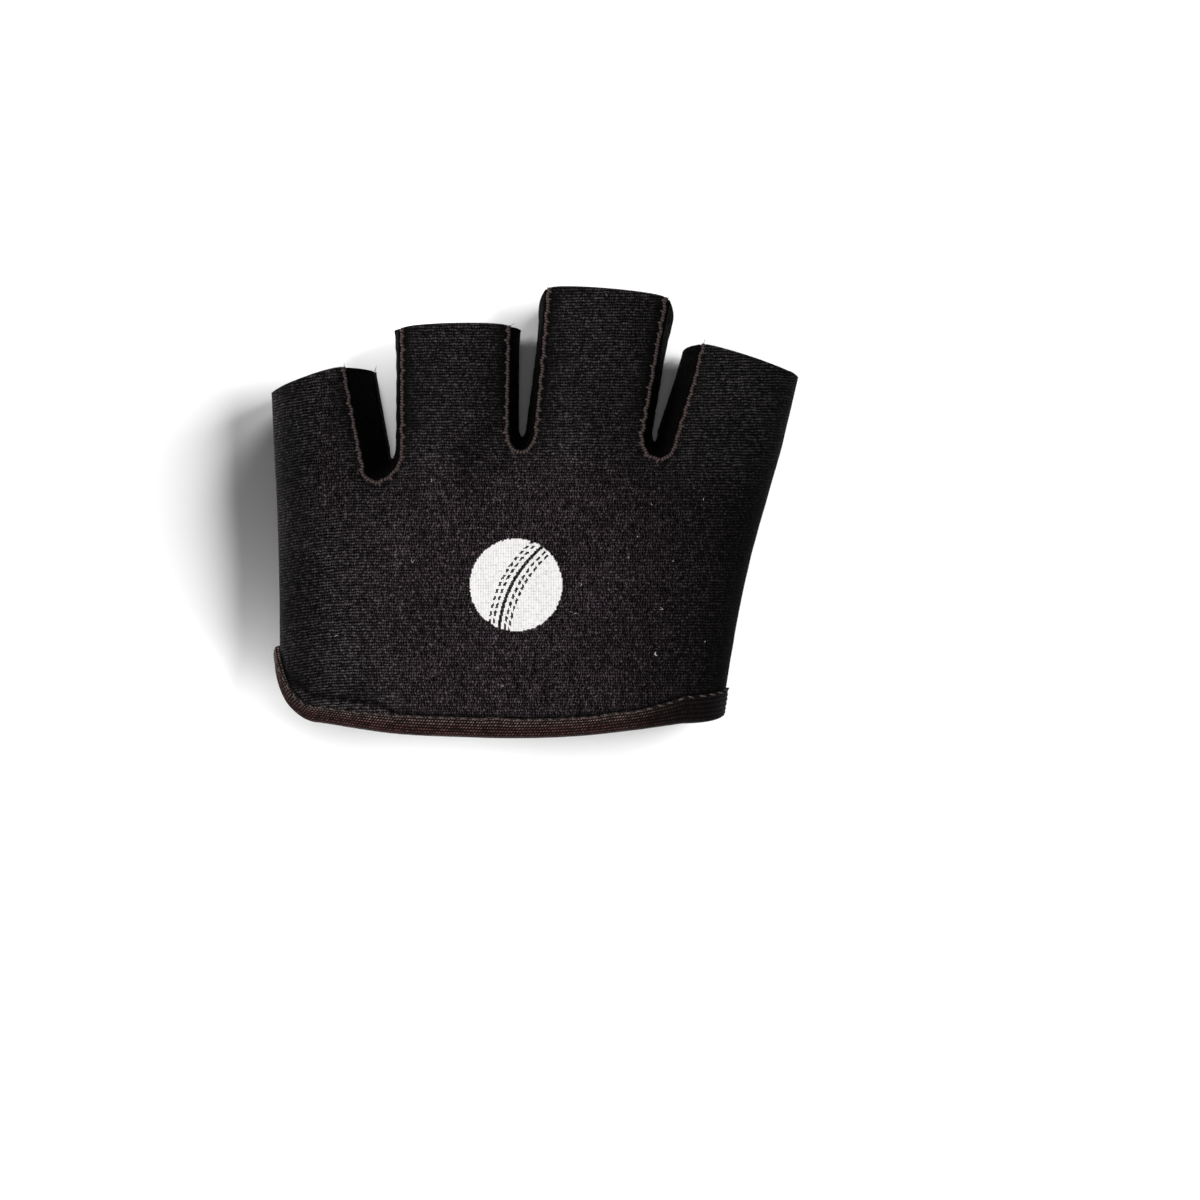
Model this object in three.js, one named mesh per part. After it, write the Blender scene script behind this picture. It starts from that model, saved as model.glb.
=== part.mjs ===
// A fingerless fielding practice glove for the left hand, lying on its padded palm.
// It has no thumb: four open finger stalls, a smooth back, a palm with foam pads and a bound wrist edge.
// Lengths are millimetres.
// +X runs from the little finger to the index finger, +Y to the fingertips and +Z up.

import * as THREE from "three";

// Cloth
const PANEL_WALL = 2; // foam-backed knit of the back and the palm
const WEB_WALL = 1.5; // strip that lines the gap between two fingers
const WEB_BULGE = 0.4; // how far a strip bows into the gap
const SEAM_GAP = 0.3; // between two pieces that are sewn together
const PAD_DEPTH = 1.8; // foam pad under the palm, where it is full

// Heights above the surface that the glove lies on
const PALM_Z = PAD_DEPTH + SEAM_GAP; // outer face of the palm panel
const FOLD_Z = 9; // the side seams, where back and palm meet
const FOLD_RADIUS = 8; // how far in from a side seam the cloth turns flat

// Section of the back at three places along the hand: beside the side seam, along the middle line,
// at the seams of the finger gaps, and how much the back of each finger rises between its seams.
const BACK_SECTIONS = {
  hem: { shoulder: 14.6, crown: 16.2 },
  root: { shoulder: 15.4, crown: 17, gapSeam: 14, fingerRise: 2.3 },
  tip: { shoulder: 13.9, crown: 15.2, gapSeam: 12.6, fingerRise: 2 },
};
const FINGER_FORM_STARTS = 0.5; // share of the palm's length where the fingers' forms start to show

// Side seams in plan, from the wrist to the fingertips
const LITTLE_SIDE = [
  { y: -29, x: -51.1 },
  { y: -15, x: -51.2 },
  { y: 0, x: -51.6 },
  { y: 14, x: -52.3 },
  { y: 25, x: -52.8 },
];
const INDEX_SIDE = [
  { y: -39, x: 37.5 },
  { y: -22, x: 40.3 },
  { y: -8, x: 43.3 },
  { y: 3, x: 46.4 },
  { y: 15, x: 49.7 },
  { y: 28, x: 52.8 },
];

// Wrist edge of each panel in plan. Near the little finger it climbs to the side seam in a round sweep.
const WRIST_EDGE = [
  { x: -43.2, back: -41, palm: -36.6 },
  { x: -28, back: -42.7, palm: -38.9 },
  { x: -13.5, back: -43.6, palm: -39.6 },
  { x: -2.5, back: -43.9, palm: -39.9 },
  { x: 8.5, back: -43.5, palm: -40.3 },
  { x: 19.5, back: -42.4, palm: -40.4 },
  { x: 30, back: -41, palm: -40.3 },
];
const WRIST_AT_LITTLE_SIDE = -28.5;
const WRIST_AT_INDEX_SIDE = -39.6;
const WRIST_SWEEP = 1.3; // 1 is a quarter ellipse, more is flatter beside the side seam

// Finger stalls of the back panel: where each side starts at the gap's end (root) and where it ends
// at the opening (tip). A side without x lies on the side seam.
// bow is how far the opening's edge rises between its corners.
const BACK_FINGERS = [
  {
    name: "little",
    rootLeft: { y: 9 },
    rootRight: { x: -34.3, y: 9.6 },
    tipLeft: { y: 24.2 },
    tipRight: { x: -38, y: 29 },
    bow: 0.6,
  },
  {
    name: "ring",
    rootLeft: { x: -26.7, y: 11.6 },
    rootRight: { x: -5.4, y: 16.4 },
    tipLeft: { x: -26.8, y: 36.8 },
    tipRight: { x: -5, y: 37.2 },
    bow: 0.7,
  },
  {
    name: "middle",
    rootLeft: { x: 0.1, y: 16.4 },
    rootRight: { x: 21.5, y: 15.2 },
    tipLeft: { x: 2.6, y: 44.8 },
    tipRight: { x: 26.4, y: 42.8 },
    bow: 0.8,
  },
  {
    name: "index",
    rootLeft: { x: 28.1, y: 14.6 },
    rootRight: { y: 14.6 },
    tipLeft: { x: 33.4, y: 33.6 },
    tipRight: { y: 27.4 },
    bow: 0.5,
  },
];
const BACK_GAP_ENDS = [
  { x: -30.9, y: 6.4 },
  { x: -2.8, y: 12.2 },
  { x: 24.7, y: 10.8 },
];

// The palm's finger gaps are narrower and end nearer the fingertips, so the web strips lean.
// The long finger's palm side ends in a round tip instead of a straight edge.
const PALM_FINGERS = [
  {
    name: "little",
    rootLeft: { y: 9 },
    rootRight: { x: -29.7, y: 13 },
    tipLeft: { y: 24 },
    tipRight: { x: -32.5, y: 28.3 },
    bow: 0.4,
  },
  {
    name: "ring",
    rootLeft: { x: -27.7, y: 13.4 },
    rootRight: { x: -3.8, y: 17.6 },
    tipLeft: { x: -27.1, y: 36.4 },
    tipRight: { x: -3.8, y: 36.6 },
    bow: 0.4,
  },
  {
    name: "middle",
    rootLeft: { x: -1.5, y: 17.6 },
    rootRight: { x: 23.1, y: 16.6 },
    tipLeft: { x: 1.6, y: 38.6 },
    tipRight: { x: 26.4, y: 36.8 },
    bow: 6.2,
  },
  {
    name: "index",
    rootLeft: { x: 25, y: 16.8 },
    rootRight: { y: 15 },
    tipLeft: { x: 29.9, y: 32 },
    tipRight: { y: 26.8 },
    bow: 0.4,
  },
];
const PALM_GAP_ENDS = [
  { x: -28.8, y: 10.8 },
  { x: -2.7, y: 15.2 },
  { x: 24, y: 14.2 },
];

// Foam pads of the palm: corners in plan, from the little finger's wrist side round to the right.
// round is the share of each side that its corners take.
const PADS = [
  {
    name: "pad_little_finger",
    round: 0.4,
    corners: [[-50.3, 3.4], [-33.6, 5.2], [-35, 19.2], [-50.9, 17.2]],
  },
  {
    name: "pad_ring_finger",
    round: 0.35,
    corners: [[-24.4, 17.2], [-7.4, 18.2], [-7, 29.2], [-24.4, 29.4]],
  },
  {
    name: "pad_middle_finger",
    round: 0.35,
    corners: [[3.6, 19.2], [19.8, 17.6], [21, 30.6], [5.8, 32.6]],
  },
  {
    name: "pad_index_finger",
    round: 0.4,
    corners: [[34.6, 7.8], [46.1, 4], [49.2, 20.6], [37, 24.2]],
  },
  {
    name: "pad_knuckles",
    round: 0.45,
    corners: [[-29, -4.6], [17.8, -5.4], [20.6, 1], [13, 7.4], [-28, 8.4]],
  },
  {
    name: "pad_outer_palm",
    round: 0.4,
    corners: [[-49.4, -13.8], [-34, -10.4], [-33.6, 0.6], [-49.8, -0.4]],
  },
  {
    name: "pad_heel",
    round: 0.35,
    corners: [[-45.9, -31.6], [-32.8, -30.2], [-33.4, -17.3], [-49, -17.9]],
  },
  {
    name: "pad_lens",
    round: 0.5,
    corners: [[-22, -26.6], [-6, -28.4], [20, -25.6], [22.4, -20.4], [6, -12.6], [-11, -8.4], [-23.8, -11.6]],
  },
  {
    name: "pad_thumb_upper",
    round: 0.35,
    corners: [[32.6, -13.2], [39.8, -16.2], [43.7, -1.2], [32.2, 3]],
  },
  {
    name: "pad_thumb_lower",
    round: 0.35,
    corners: [[30.2, -34.2], [37.2, -33.8], [38.6, -21.2], [29.9, -18.6]],
  },
];

// Section of a pad: share of the way from its middle to its outline, and of its depth there
const PILLOW = [
  { reach: 1, depth: 0.3 },
  { reach: 0.95, depth: 0.75 },
  { reach: 0.88, depth: 1 },
  { reach: 0.5, depth: 1 },
];

// Wrist binding: a folded tape sewn over the edge of both panels
const TAPE = 0.8; // thickness of one layer
const TAPE_SWELL = 0.15; // how much further out it stands where it turns round the edge
const TAPE_TURN = 0.8; // share of its depth below the edge where its round corner starts
const TAPE_WIDTHS = { little: 3, index: 5.2 }; // height of the band on the back, at each side of the hand

// Fineness of the surfaces
const STEPS = { fold: 5, outerFinger: 4, innerFinger: 6, gap: 6, palm: 9, stall: 6, web: 3, padRound: 20 };

const QUARTER_TURN = Math.PI / 2;
const UP = new THREE.Vector3(0, 0, 1);
const lerp = THREE.MathUtils.lerp;

/** The value of `key` at `at`, on a smooth line through the rows of a table that is sorted by `by`. */
function alongTable(rows, by, key, at) {
  const inside = THREE.MathUtils.clamp(at, rows[0][by], rows.at(-1)[by]);
  const last = rows.length - 2;
  const i = Math.min(Math.max(rows.findIndex((row) => row[by] >= inside) - 1, 0), last);
  const [a, b] = [rows[i], rows[i + 1]];
  const slope = (from, to) => (to[key] - from[key]) / (to[by] - from[by]);
  const here = slope(a, b);
  const slopeA = i > 0 ? slope(rows[i - 1], b) : here;
  const slopeB = i < last ? slope(a, rows[i + 2]) : here;
  const span = b[by] - a[by];
  const t = (inside - a[by]) / span;
  return (
    a[key] * (1 + 2 * t) * (1 - t) ** 2 +
    b[key] * t * t * (3 - 2 * t) +
    span * t * (1 - t) * (slopeA * (1 - t) - slopeB * t)
  );
}

const littleSide = (y) => alongTable(LITTLE_SIDE, "y", "x", y);
const indexSide = (y) => alongTable(INDEX_SIDE, "y", "x", y);

/** Height of the palm panel's outer face: flat, and turning up to the side seams in a quarter ellipse. */
function palmHeight(x, y) {
  const turned = (distance) => Math.sqrt(1 - (1 - THREE.MathUtils.clamp(distance / FOLD_RADIUS, 0, 1)) ** 2);
  return FOLD_Z - (FOLD_Z - PALM_Z) * turned(x - littleSide(y)) * turned(indexSide(y) - x);
}

/**
 * The lines that run along the hand on one panel, from the little finger's side seam to the index finger's.
 * `turn` is the angle round the side fold, a quarter turn where the cloth lies flat. `across` is the place
 * between a finger's two sides, and `finger` is its number, or null on a line that ends in a gap.
 */
function handLines(fingers, gapEnds) {
  const lines = [];
  fingers.forEach((finger, number) => {
    const outer = number === 0 ? -1 : number === fingers.length - 1 ? 1 : 0;
    const flatSteps = outer ? STEPS.outerFinger : STEPS.innerFinger;
    const flat = Array.from({ length: flatSteps + 1 }, (_, k) => k / flatSteps);
    const turns = Array.from({ length: STEPS.fold }, (_, k) => (QUARTER_TURN * k) / STEPS.fold);
    const addLine = (turn, across) => lines.push({ finger: number, side: outer, turn, across });
    if (outer < 0) turns.forEach((turn) => addLine(turn, 0));
    flat.forEach((across) => addLine(QUARTER_TURN, across));
    if (outer > 0) turns.reverse().forEach((turn) => addLine(turn, 1));
    if (number === fingers.length - 1) return;
    for (let k = 1; k < STEPS.gap; k++) {
      const around = (Math.PI * k) / STEPS.gap;
      lines.push({ finger: null, gap: number, side: 0, turn: QUARTER_TURN, around });
    }
  });
  return lines.map((line) => ({ ...line, ...endsOfLine(line, fingers, gapEnds) }));
}

/** Where a line of the hand passes the fingers' roots, and where it ends at a stall's opening. */
function endsOfLine(line, fingers, gapEnds) {
  if (line.finger === null) {
    const from = new THREE.Vector2(fingers[line.gap].rootRight.x, fingers[line.gap].rootRight.y);
    const to = new THREE.Vector2(fingers[line.gap + 1].rootLeft.x, fingers[line.gap + 1].rootLeft.y);
    const middle = from.clone().add(to).divideScalar(2);
    const deep = new THREE.Vector2(gapEnds[line.gap].x, gapEnds[line.gap].y).sub(middle);
    const root = middle.clone().addScaledVector(from.sub(middle), Math.cos(line.around));
    return { root: root.addScaledVector(deep, Math.sin(line.around)) };
  }
  const finger = fingers[line.finger];
  const turned = line.turn < QUARTER_TURN;
  const inFromFold = FOLD_RADIUS * (1 - Math.cos(line.turn));
  const at = (left, right, bow) => {
    const leftX = left.x ?? littleSide(left.y);
    const width = (right.x ?? indexSide(right.y)) - leftX;
    const flatFrom = line.side < 0 ? FOLD_RADIUS : 0;
    const flatTo = line.side > 0 ? width - FOLD_RADIUS : width;
    const rolled = line.side < 0 ? inFromFold : width - inFromFold;
    const fromLeft = turned ? rolled : lerp(flatFrom, flatTo, line.across);
    const share = fromLeft / width;
    const y = lerp(left.y, right.y, share) + bow * Math.sqrt(Math.max(0, 1 - (2 * share - 1) ** 2));
    return new THREE.Vector2(turned ? foldX(line.side, y, inFromFold) : leftX + fromLeft, y);
  };
  return {
    root: at(finger.rootLeft, finger.rootRight, 0),
    tip: at(finger.tipLeft, finger.tipRight, finger.bow),
  };
}

/** Plan position at a distance in from one side seam. */
function foldX(side, y, inwards) {
  return side < 0 ? littleSide(y) + inwards : indexSide(y) - inwards;
}

/** Start of a line at the wrist edge of the panel `which`, "back" or "palm". */
function wristEnd(line, lines, which) {
  const flatLines = lines.filter((l) => l.turn === QUARTER_TURN);
  const [first, last] = [flatLines[0].root.x, flatLines.at(-1).root.x];
  const [edgeFirst, edgeLast] = [WRIST_EDGE[0].x, WRIST_EDGE.at(-1).x];
  if (line.turn === QUARTER_TURN) {
    const x = lerp(edgeFirst, edgeLast, (line.root.x - first) / (last - first));
    return new THREE.Vector2(x, alongTable(WRIST_EDGE, "x", which, x));
  }
  const flatY = (line.side < 0 ? WRIST_EDGE[0] : WRIST_EDGE.at(-1))[which];
  const seamY = line.side < 0 ? WRIST_AT_LITTLE_SIDE : WRIST_AT_INDEX_SIDE;
  const y = lerp(seamY, flatY, Math.sin(line.turn) ** WRIST_SWEEP);
  return new THREE.Vector2(foldX(line.side, y, FOLD_RADIUS * (1 - Math.cos(line.turn))), y);
}

/** Height of the back panel's outer face. `along` is 0 at the wrist, 1 at the roots and 2 at the tips. */
function backHeight(line, along) {
  const { hem, root, tip } = BACK_SECTIONS;
  const inPalm = Math.min(along, 1);
  const inStall = Math.max(along - 1, 0);
  const level = (key) => lerp(lerp(hem[key] ?? root[key], root[key], inPalm), tip[key], inStall);
  const halfWidth = (indexSide(line.root.y) - littleSide(line.root.y)) / 2 - FOLD_RADIUS;
  const fromMiddle = THREE.MathUtils.clamp(line.root.x / halfWidth, -1, 1);
  const palmForm = lerp(level("crown"), level("shoulder"), fromMiddle ** 2);
  const rise = line.finger === null ? 0 : fingerRise(line);
  const fingerForm = level("gapSeam") + level("fingerRise") * rise;
  const top = lerp(palmForm, fingerForm, THREE.MathUtils.smoothstep(along, FINGER_FORM_STARTS, 1));
  return lerp(FOLD_Z, top, Math.sin(line.turn));
}

/** Share of a finger's rise at one place: a parabola between two seams, or half of one up to a fold. */
function fingerRise({ side, across }) {
  if (side < 0) return 1 - across ** 2;
  if (side > 0) return 1 - (1 - across) ** 2;
  return 1 - (2 * across - 1) ** 2;
}

/** A point on a panel's outer face. `along` is 0 at the wrist, 1 at the roots and 2 at the tips. */
function panelPoint(panel, line, along) {
  const plan =
    along <= 1
      ? panel.wrist(line).lerp(line.root, along)
      : line.root.clone().lerp(line.tip, along - 1);
  if (line.turn < QUARTER_TURN) plan.x = foldX(line.side, plan.y, FOLD_RADIUS * (1 - Math.cos(line.turn)));
  const z = panel.isBack ? backHeight(line, along) : palmHeight(plan.x, plan.y);
  const seam = line.turn === 0 ? (panel.isBack ? SEAM_GAP : -SEAM_GAP) / 2 : 0;
  return new THREE.Vector3(plan.x, plan.y, z + seam);
}

/** One panel's lines and its two ways to be measured. */
function makePanel(fingers, gapEnds, which) {
  const lines = handLines(fingers, gapEnds);
  return { lines, isBack: which === "back", wrist: (line) => wristEnd(line, lines, which) };
}

/** A closed solid between two sheets with the same faces. A face is a list of vertex numbers. */
function solidBetween(outside, inside, faces) {
  const count = outside.length;
  const index = [];
  const edges = new Map();
  for (const face of faces) {
    for (let k = 1; k < face.length - 1; k++) {
      index.push(face[0], face[k], face[k + 1]);
      index.push(count + face[0], count + face[k + 1], count + face[k]);
    }
    face.forEach((from, k) => {
      const to = face[(k + 1) % face.length];
      const back = `${to},${from}`;
      if (edges.has(back)) edges.delete(back);
      else edges.set(`${from},${to}`, [from, to]);
    });
  }
  for (const [from, to] of edges.values())
    index.push(to, from, count + from, to, count + from, count + to);
  return geometryOf([...outside, ...inside], index);
}

/** A faceted geometry of numbered points. */
function geometryOf(points, index) {
  const geometry = new THREE.BufferGeometry().setFromPoints(points).setIndex(index);
  const faceted = geometry.toNonIndexed();
  faceted.computeVertexNormals();
  return faceted;
}

/** Directions out of a sheet at each of its points. */
function normalsOf(points, faces) {
  const index = faces.flatMap((face) =>
    face.slice(1, -1).flatMap((_, k) => [face[0], face[k + 1], face[k + 2]]),
  );
  const geometry = new THREE.BufferGeometry().setFromPoints(points).setIndex(index);
  geometry.computeVertexNormals();
  return points.map((_, i) => new THREE.Vector3().fromBufferAttribute(geometry.attributes.normal, i));
}

/** The outer and inner face of one panel, on rows from the wrist to the fingertips. */
function panelSheets(panel) {
  const rows = STEPS.palm + STEPS.stall;
  const width = panel.lines.length;
  const alongOf = (row) => (row <= STEPS.palm ? row / STEPS.palm : 1 + (row - STEPS.palm) / STEPS.stall);
  const used = (row, column) => row <= STEPS.palm || panel.lines[column].finger !== null;
  const number = new Map();
  const points = [];
  const keys = [];
  for (let row = 0; row <= rows; row++)
    for (let column = 0; column < width; column++) {
      if (!used(row, column)) continue;
      number.set(row * width + column, points.length);
      points.push(panelPoint(panel, panel.lines[column], alongOf(row)));
      keys.push({ row, column });
    }
  const at = (row, column) => number.get(row * width + column);
  const faces = [];
  for (let row = 0; row < rows; row++)
    for (let column = 0; column < width - 1; column++) {
      const [left, right] = [panel.lines[column], panel.lines[column + 1]];
      if (row >= STEPS.palm && (left.finger === null || left.finger !== right.finger)) continue;
      const face = [at(row, column), at(row, column + 1), at(row + 1, column + 1), at(row + 1, column)];
      faces.push(panel.isBack ? face : face.reverse());
    }
  const normals = normalsOf(points, faces);
  keys.forEach(({ column }, i) => {
    const { turn, side } = panel.lines[column];
    if (turn === 0) normals[i].set(side, 0, 0);
  });
  const inside = points.map((point, i) => point.clone().addScaledVector(normals[i], -PANEL_WALL));
  return { outside: points, inside, normals, faces, at, rows };
}

/** Numbers of the vertices round one finger gap: down one finger, round the end and up the next finger. */
function gapEdge(panel, sheets, gap) {
  const { lines } = panel;
  const before = lines.findLastIndex((line) => line.finger === gap);
  const after = lines.findIndex((line) => line.finger === gap + 1);
  const edge = [];
  for (let row = sheets.rows; row > STEPS.palm; row--) edge.push(sheets.at(row, before));
  for (let column = before; column <= after; column++) edge.push(sheets.at(STEPS.palm, column));
  for (let row = STEPS.palm + 1; row <= sheets.rows; row++) edge.push(sheets.at(row, after));
  return edge;
}

/** The web strip of one finger gap, between the inner faces of the back and the palm. */
function webGeometry(back, palm, gap) {
  const edgeOf = ({ panel, sheets }) =>
    gapEdge(panel, sheets, gap).map((i) =>
      sheets.inside[i].clone().addScaledVector(sheets.normals[i], -SEAM_GAP),
    );
  const [top, bottom] = [edgeOf(back), edgeOf(palm)];
  const [outside, inside] = [[], []];
  top.forEach((from, i) => {
    const [before, after] = [Math.max(i - 1, 0), Math.min(i + 1, top.length - 1)];
    const way = top[after].clone().sub(top[before]).add(bottom[after]).sub(bottom[before]);
    const intoGap = new THREE.Vector3().crossVectors(UP, way).setZ(0).normalize();
    for (let step = 0; step <= STEPS.web; step++) {
      const t = step / STEPS.web;
      const point = from.clone().lerp(bottom[i], t).addScaledVector(intoGap, 4 * WEB_BULGE * t * (1 - t));
      outside.push(point);
      inside.push(point.clone().addScaledVector(intoGap, -WEB_WALL));
    }
  });
  const faces = [];
  const high = STEPS.web + 1;
  for (let i = 0; i < top.length - 1; i++)
    for (let step = 0; step < STEPS.web; step++)
      faces.push([i * high + step, (i + 1) * high + step, (i + 1) * high + step + 1, i * high + step + 1]);
  return solidBetween(outside, inside, faces);
}

/** Points round a pad's outline, with the same share of each side given to its rounded corners. */
function padOutline({ corners, round }) {
  const outline = new THREE.Path();
  const corner = (k) => new THREE.Vector2(...corners.at(k % corners.length));
  const onSide = (k, t) => corner(k).lerp(corner(k + 1), t);
  const start = onSide(0, round);
  outline.moveTo(start.x, start.y);
  corners.forEach((_, k) => {
    const [leave, turnAt, arrive] = [onSide(k, 1 - round), corner(k + 1), onSide(k + 1, round)];
    outline.lineTo(leave.x, leave.y);
    outline.quadraticCurveTo(turnAt.x, turnAt.y, arrive.x, arrive.y);
  });
  return outline.getSpacedPoints(STEPS.padRound).slice(0, -1);
}

/** A pad: a flat-bottomed pillow of even depth that follows the palm round to the side seams. */
function padGeometry(pad) {
  const outline = padOutline(pad);
  const middle = outline.reduce((sum, p) => sum.add(p), new THREE.Vector2()).divideScalar(outline.length);
  const [outside, inside] = [[], []];
  const add = (plan, depth) => {
    const base = new THREE.Vector3(plan.x, plan.y, palmHeight(plan.x, plan.y));
    const normal = palmNormal(plan);
    outside.push(base.clone().addScaledVector(normal, SEAM_GAP + PAD_DEPTH * depth));
    inside.push(base.addScaledVector(normal, SEAM_GAP));
  };
  for (const { reach, depth } of PILLOW)
    outline.forEach((p) => add(middle.clone().lerp(p, reach), depth));
  add(middle, 1);
  const count = outline.length;
  const faces = [];
  for (let i = 0; i < count; i++) {
    const next = (i + 1) % count;
    for (let ring = 0; ring < PILLOW.length - 1; ring++)
      faces.push([ring * count + i, (ring + 1) * count + i, (ring + 1) * count + next, ring * count + next]);
    const inner = (PILLOW.length - 1) * count;
    faces.push([inner + i, PILLOW.length * count, inner + next]);
  }
  return solidBetween(outside, inside, faces);
}

/** Direction out of the palm's outer face, downwards where it is flat. */
function palmNormal({ x, y }) {
  const STEP = 0.05;
  const slopeX = (palmHeight(x + STEP, y) - palmHeight(x - STEP, y)) / (2 * STEP);
  const slopeY = (palmHeight(x, y + STEP) - palmHeight(x, y - STEP)) / (2 * STEP);
  return new THREE.Vector3(slopeX, slopeY, -1).normalize();
}

/** The tape round the wrist: a channel whose section holds the edges of both panels. */
function bindingGeometry(back, palm) {
  const station = ({ panel, sheets }, column) => {
    const line = panel.lines[column];
    const i = sheets.at(0, column);
    return { panel, line, edge: sheets.outside[i], normal: sheets.normals[i] };
  };
  const count = back.panel.lines.length;
  const stations = [
    ...Array.from({ length: count }, (_, k) => station(back, k)),
    ...Array.from({ length: count }, (_, k) => station(palm, count - 1 - k)),
  ];
  const beside = (k, step) => {
    const next = stations.at((k + step) % stations.length);
    const acrossSeam = next.line.turn === 0 && stations[k].line.turn === 0;
    return acrossSeam ? stations.at((k + 2 * step) % stations.length) : next;
  };
  const rings = stations.map(({ panel, line, edge, normal }, k) => {
    const way = beside(k, 1).edge.clone().sub(beside(k, -1).edge).normalize();
    const share = (edge.x - WRIST_EDGE[0].x) / (WRIST_EDGE.at(-1).x - WRIST_EDGE[0].x);
    const width = lerp(TAPE_WIDTHS.little, TAPE_WIDTHS.index, THREE.MathUtils.clamp(share, 0, 1));
    const lineLength = panel.wrist(line).distanceTo(line.root);
    const along = width / Math.sqrt(1 - way.y ** 2) / lineLength;
    const top = panelPoint(panel, line, along);
    const low = new THREE.Vector3().crossVectors(way, normal).normalize();
    const out = (point, by) => point.clone().addScaledVector(normal, by);
    const [near, far] = [SEAM_GAP, SEAM_GAP + TAPE];
    const [nearInside, farInside] = [-PANEL_WALL - near, -PANEL_WALL - far];
    const below = (by, outwards) => out(edge, outwards).addScaledVector(low, by);
    return [
      out(top, near),
      out(top, far),
      below(0, far + TAPE_SWELL),
      below(far * TAPE_TURN, near),
      below(far, -PANEL_WALL / 2),
      below(far * TAPE_TURN, nearInside),
      below(0, farInside),
      out(top, farInside),
      out(top, nearInside),
      below(near, nearInside),
      below(near, near),
    ];
  });
  return ringGeometry(rings);
}

/** A closed ring swept through sections that have the same number of points. */
function ringGeometry(rings) {
  const size = rings[0].length;
  const index = [];
  rings.forEach((_, i) => {
    const next = (i + 1) % rings.length;
    for (let k = 0; k < size; k++) {
      const up = (k + 1) % size;
      const [a, b, c, d] = [i * size + k, i * size + up, next * size + up, next * size + k];
      index.push(a, b, c, a, c, d);
    }
  });
  return geometryOf(rings.flat(), index);
}

const knit = new THREE.MeshStandardMaterial({ color: 0x1d1a1b, roughness: 0.88, metalness: 0 });
const plush = new THREE.MeshStandardMaterial({ color: 0x19171b, roughness: 0.96, metalness: 0 });
const webKnit = new THREE.MeshStandardMaterial({ color: 0x0c0a0a, roughness: 0.92, metalness: 0 });
const tape = new THREE.MeshStandardMaterial({ color: 0x2e2220, roughness: 0.8, metalness: 0 });

const glove = new THREE.Group();
function addPiece(name, geometry, material) {
  const piece = new THREE.Mesh(geometry, material);
  piece.name = name;
  glove.add(piece);
}

const backPanel = makePanel(BACK_FINGERS, BACK_GAP_ENDS, "back");
const palmPanel = makePanel(PALM_FINGERS, PALM_GAP_ENDS, "palm");
const back = { panel: backPanel, sheets: panelSheets(backPanel) };
const palm = { panel: palmPanel, sheets: panelSheets(palmPanel) };

addPiece("back_panel", solidBetween(back.sheets.outside, back.sheets.inside, back.sheets.faces), knit);
addPiece("palm_panel", solidBetween(palm.sheets.outside, palm.sheets.inside, palm.sheets.faces), plush);
BACK_GAP_ENDS.forEach((_, gap) => {
  const name = `web_${BACK_FINGERS[gap].name}_${BACK_FINGERS[gap + 1].name}`;
  addPiece(name, webGeometry(back, palm, gap), webKnit);
});
PADS.forEach((pad) => addPiece(pad.name, padGeometry(pad), plush));
addPiece("wrist_binding", bindingGeometry(back, palm), tape);

export default glove;
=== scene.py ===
"""Dresses the fielding practice glove: knit panels, sewn finger gaps, quilted palm and taped wrist edge.

The form is worked out in millimetres, in the frame of the solids, and is written to Blender in metres.
"""

import logging
import math
from dataclasses import dataclass, field
from enum import Enum

import bpy
import numpy as np
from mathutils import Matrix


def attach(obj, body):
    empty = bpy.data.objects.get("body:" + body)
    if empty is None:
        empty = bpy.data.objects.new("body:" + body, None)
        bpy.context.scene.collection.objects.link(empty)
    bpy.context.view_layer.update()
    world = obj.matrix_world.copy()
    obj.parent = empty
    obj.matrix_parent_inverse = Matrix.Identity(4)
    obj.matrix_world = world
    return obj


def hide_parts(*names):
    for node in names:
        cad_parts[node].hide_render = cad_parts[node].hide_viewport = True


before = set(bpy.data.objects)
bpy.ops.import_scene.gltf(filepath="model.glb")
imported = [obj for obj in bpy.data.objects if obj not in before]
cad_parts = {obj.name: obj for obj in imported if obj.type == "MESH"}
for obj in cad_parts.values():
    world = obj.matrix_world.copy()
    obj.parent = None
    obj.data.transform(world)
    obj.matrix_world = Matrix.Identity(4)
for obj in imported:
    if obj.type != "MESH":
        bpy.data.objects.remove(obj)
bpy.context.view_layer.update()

LOG = logging.getLogger("glove")
MM = 0.001
QUARTER_TURN = math.pi / 2
NOISE_RANGE = (0.3, 0.7)
Array, Thing, Material, Socket = np.ndarray, bpy.types.Object, bpy.types.Material, bpy.types.NodeSocket


# Curves and fields


def smooth_table(table: Array, at: Array) -> Array:
    """Value on a smooth line through a table's rows.

    Each span is a cubic whose slope at a row is that of the chord between the row's neighbours.

    Args:
        table: rows of (position, value), with rising positions.
        at: positions to read, held inside the table.

    Returns:
        The values, in the shape of ``at``.
    """
    position, value = table.T
    inside = np.clip(at, position[0], position[-1])
    row = np.clip(np.searchsorted(position, inside) - 1, 0, len(position) - 2)
    slope = np.diff(value) / np.diff(position)
    chord = (value[2:] - value[:-2]) / (position[2:] - position[:-2])
    tangent = np.concatenate([slope[:1], chord, slope[-1:]])
    span = position[row + 1] - position[row]
    t = (inside - position[row]) / span
    ends = value[row] * (1 + 2 * t) * (1 - t) ** 2 + value[row + 1] * t * t * (3 - 2 * t)
    return ends + span * t * (1 - t) * (tangent[row] * (1 - t) - tangent[row + 1] * t)


def ramp(value: Array, low: float, high: float) -> Array:
    """0 below low, 1 above high, and 3 t^2 - 2 t^3 between."""
    t = np.clip((value - low) / (high - low), 0, 1)
    return t * t * (3 - 2 * t)


def unit(vectors: Array) -> Array:
    """Vectors scaled to length 1."""
    return vectors / np.maximum(np.linalg.norm(vectors, axis=-1, keepdims=True), 1e-12)


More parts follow.
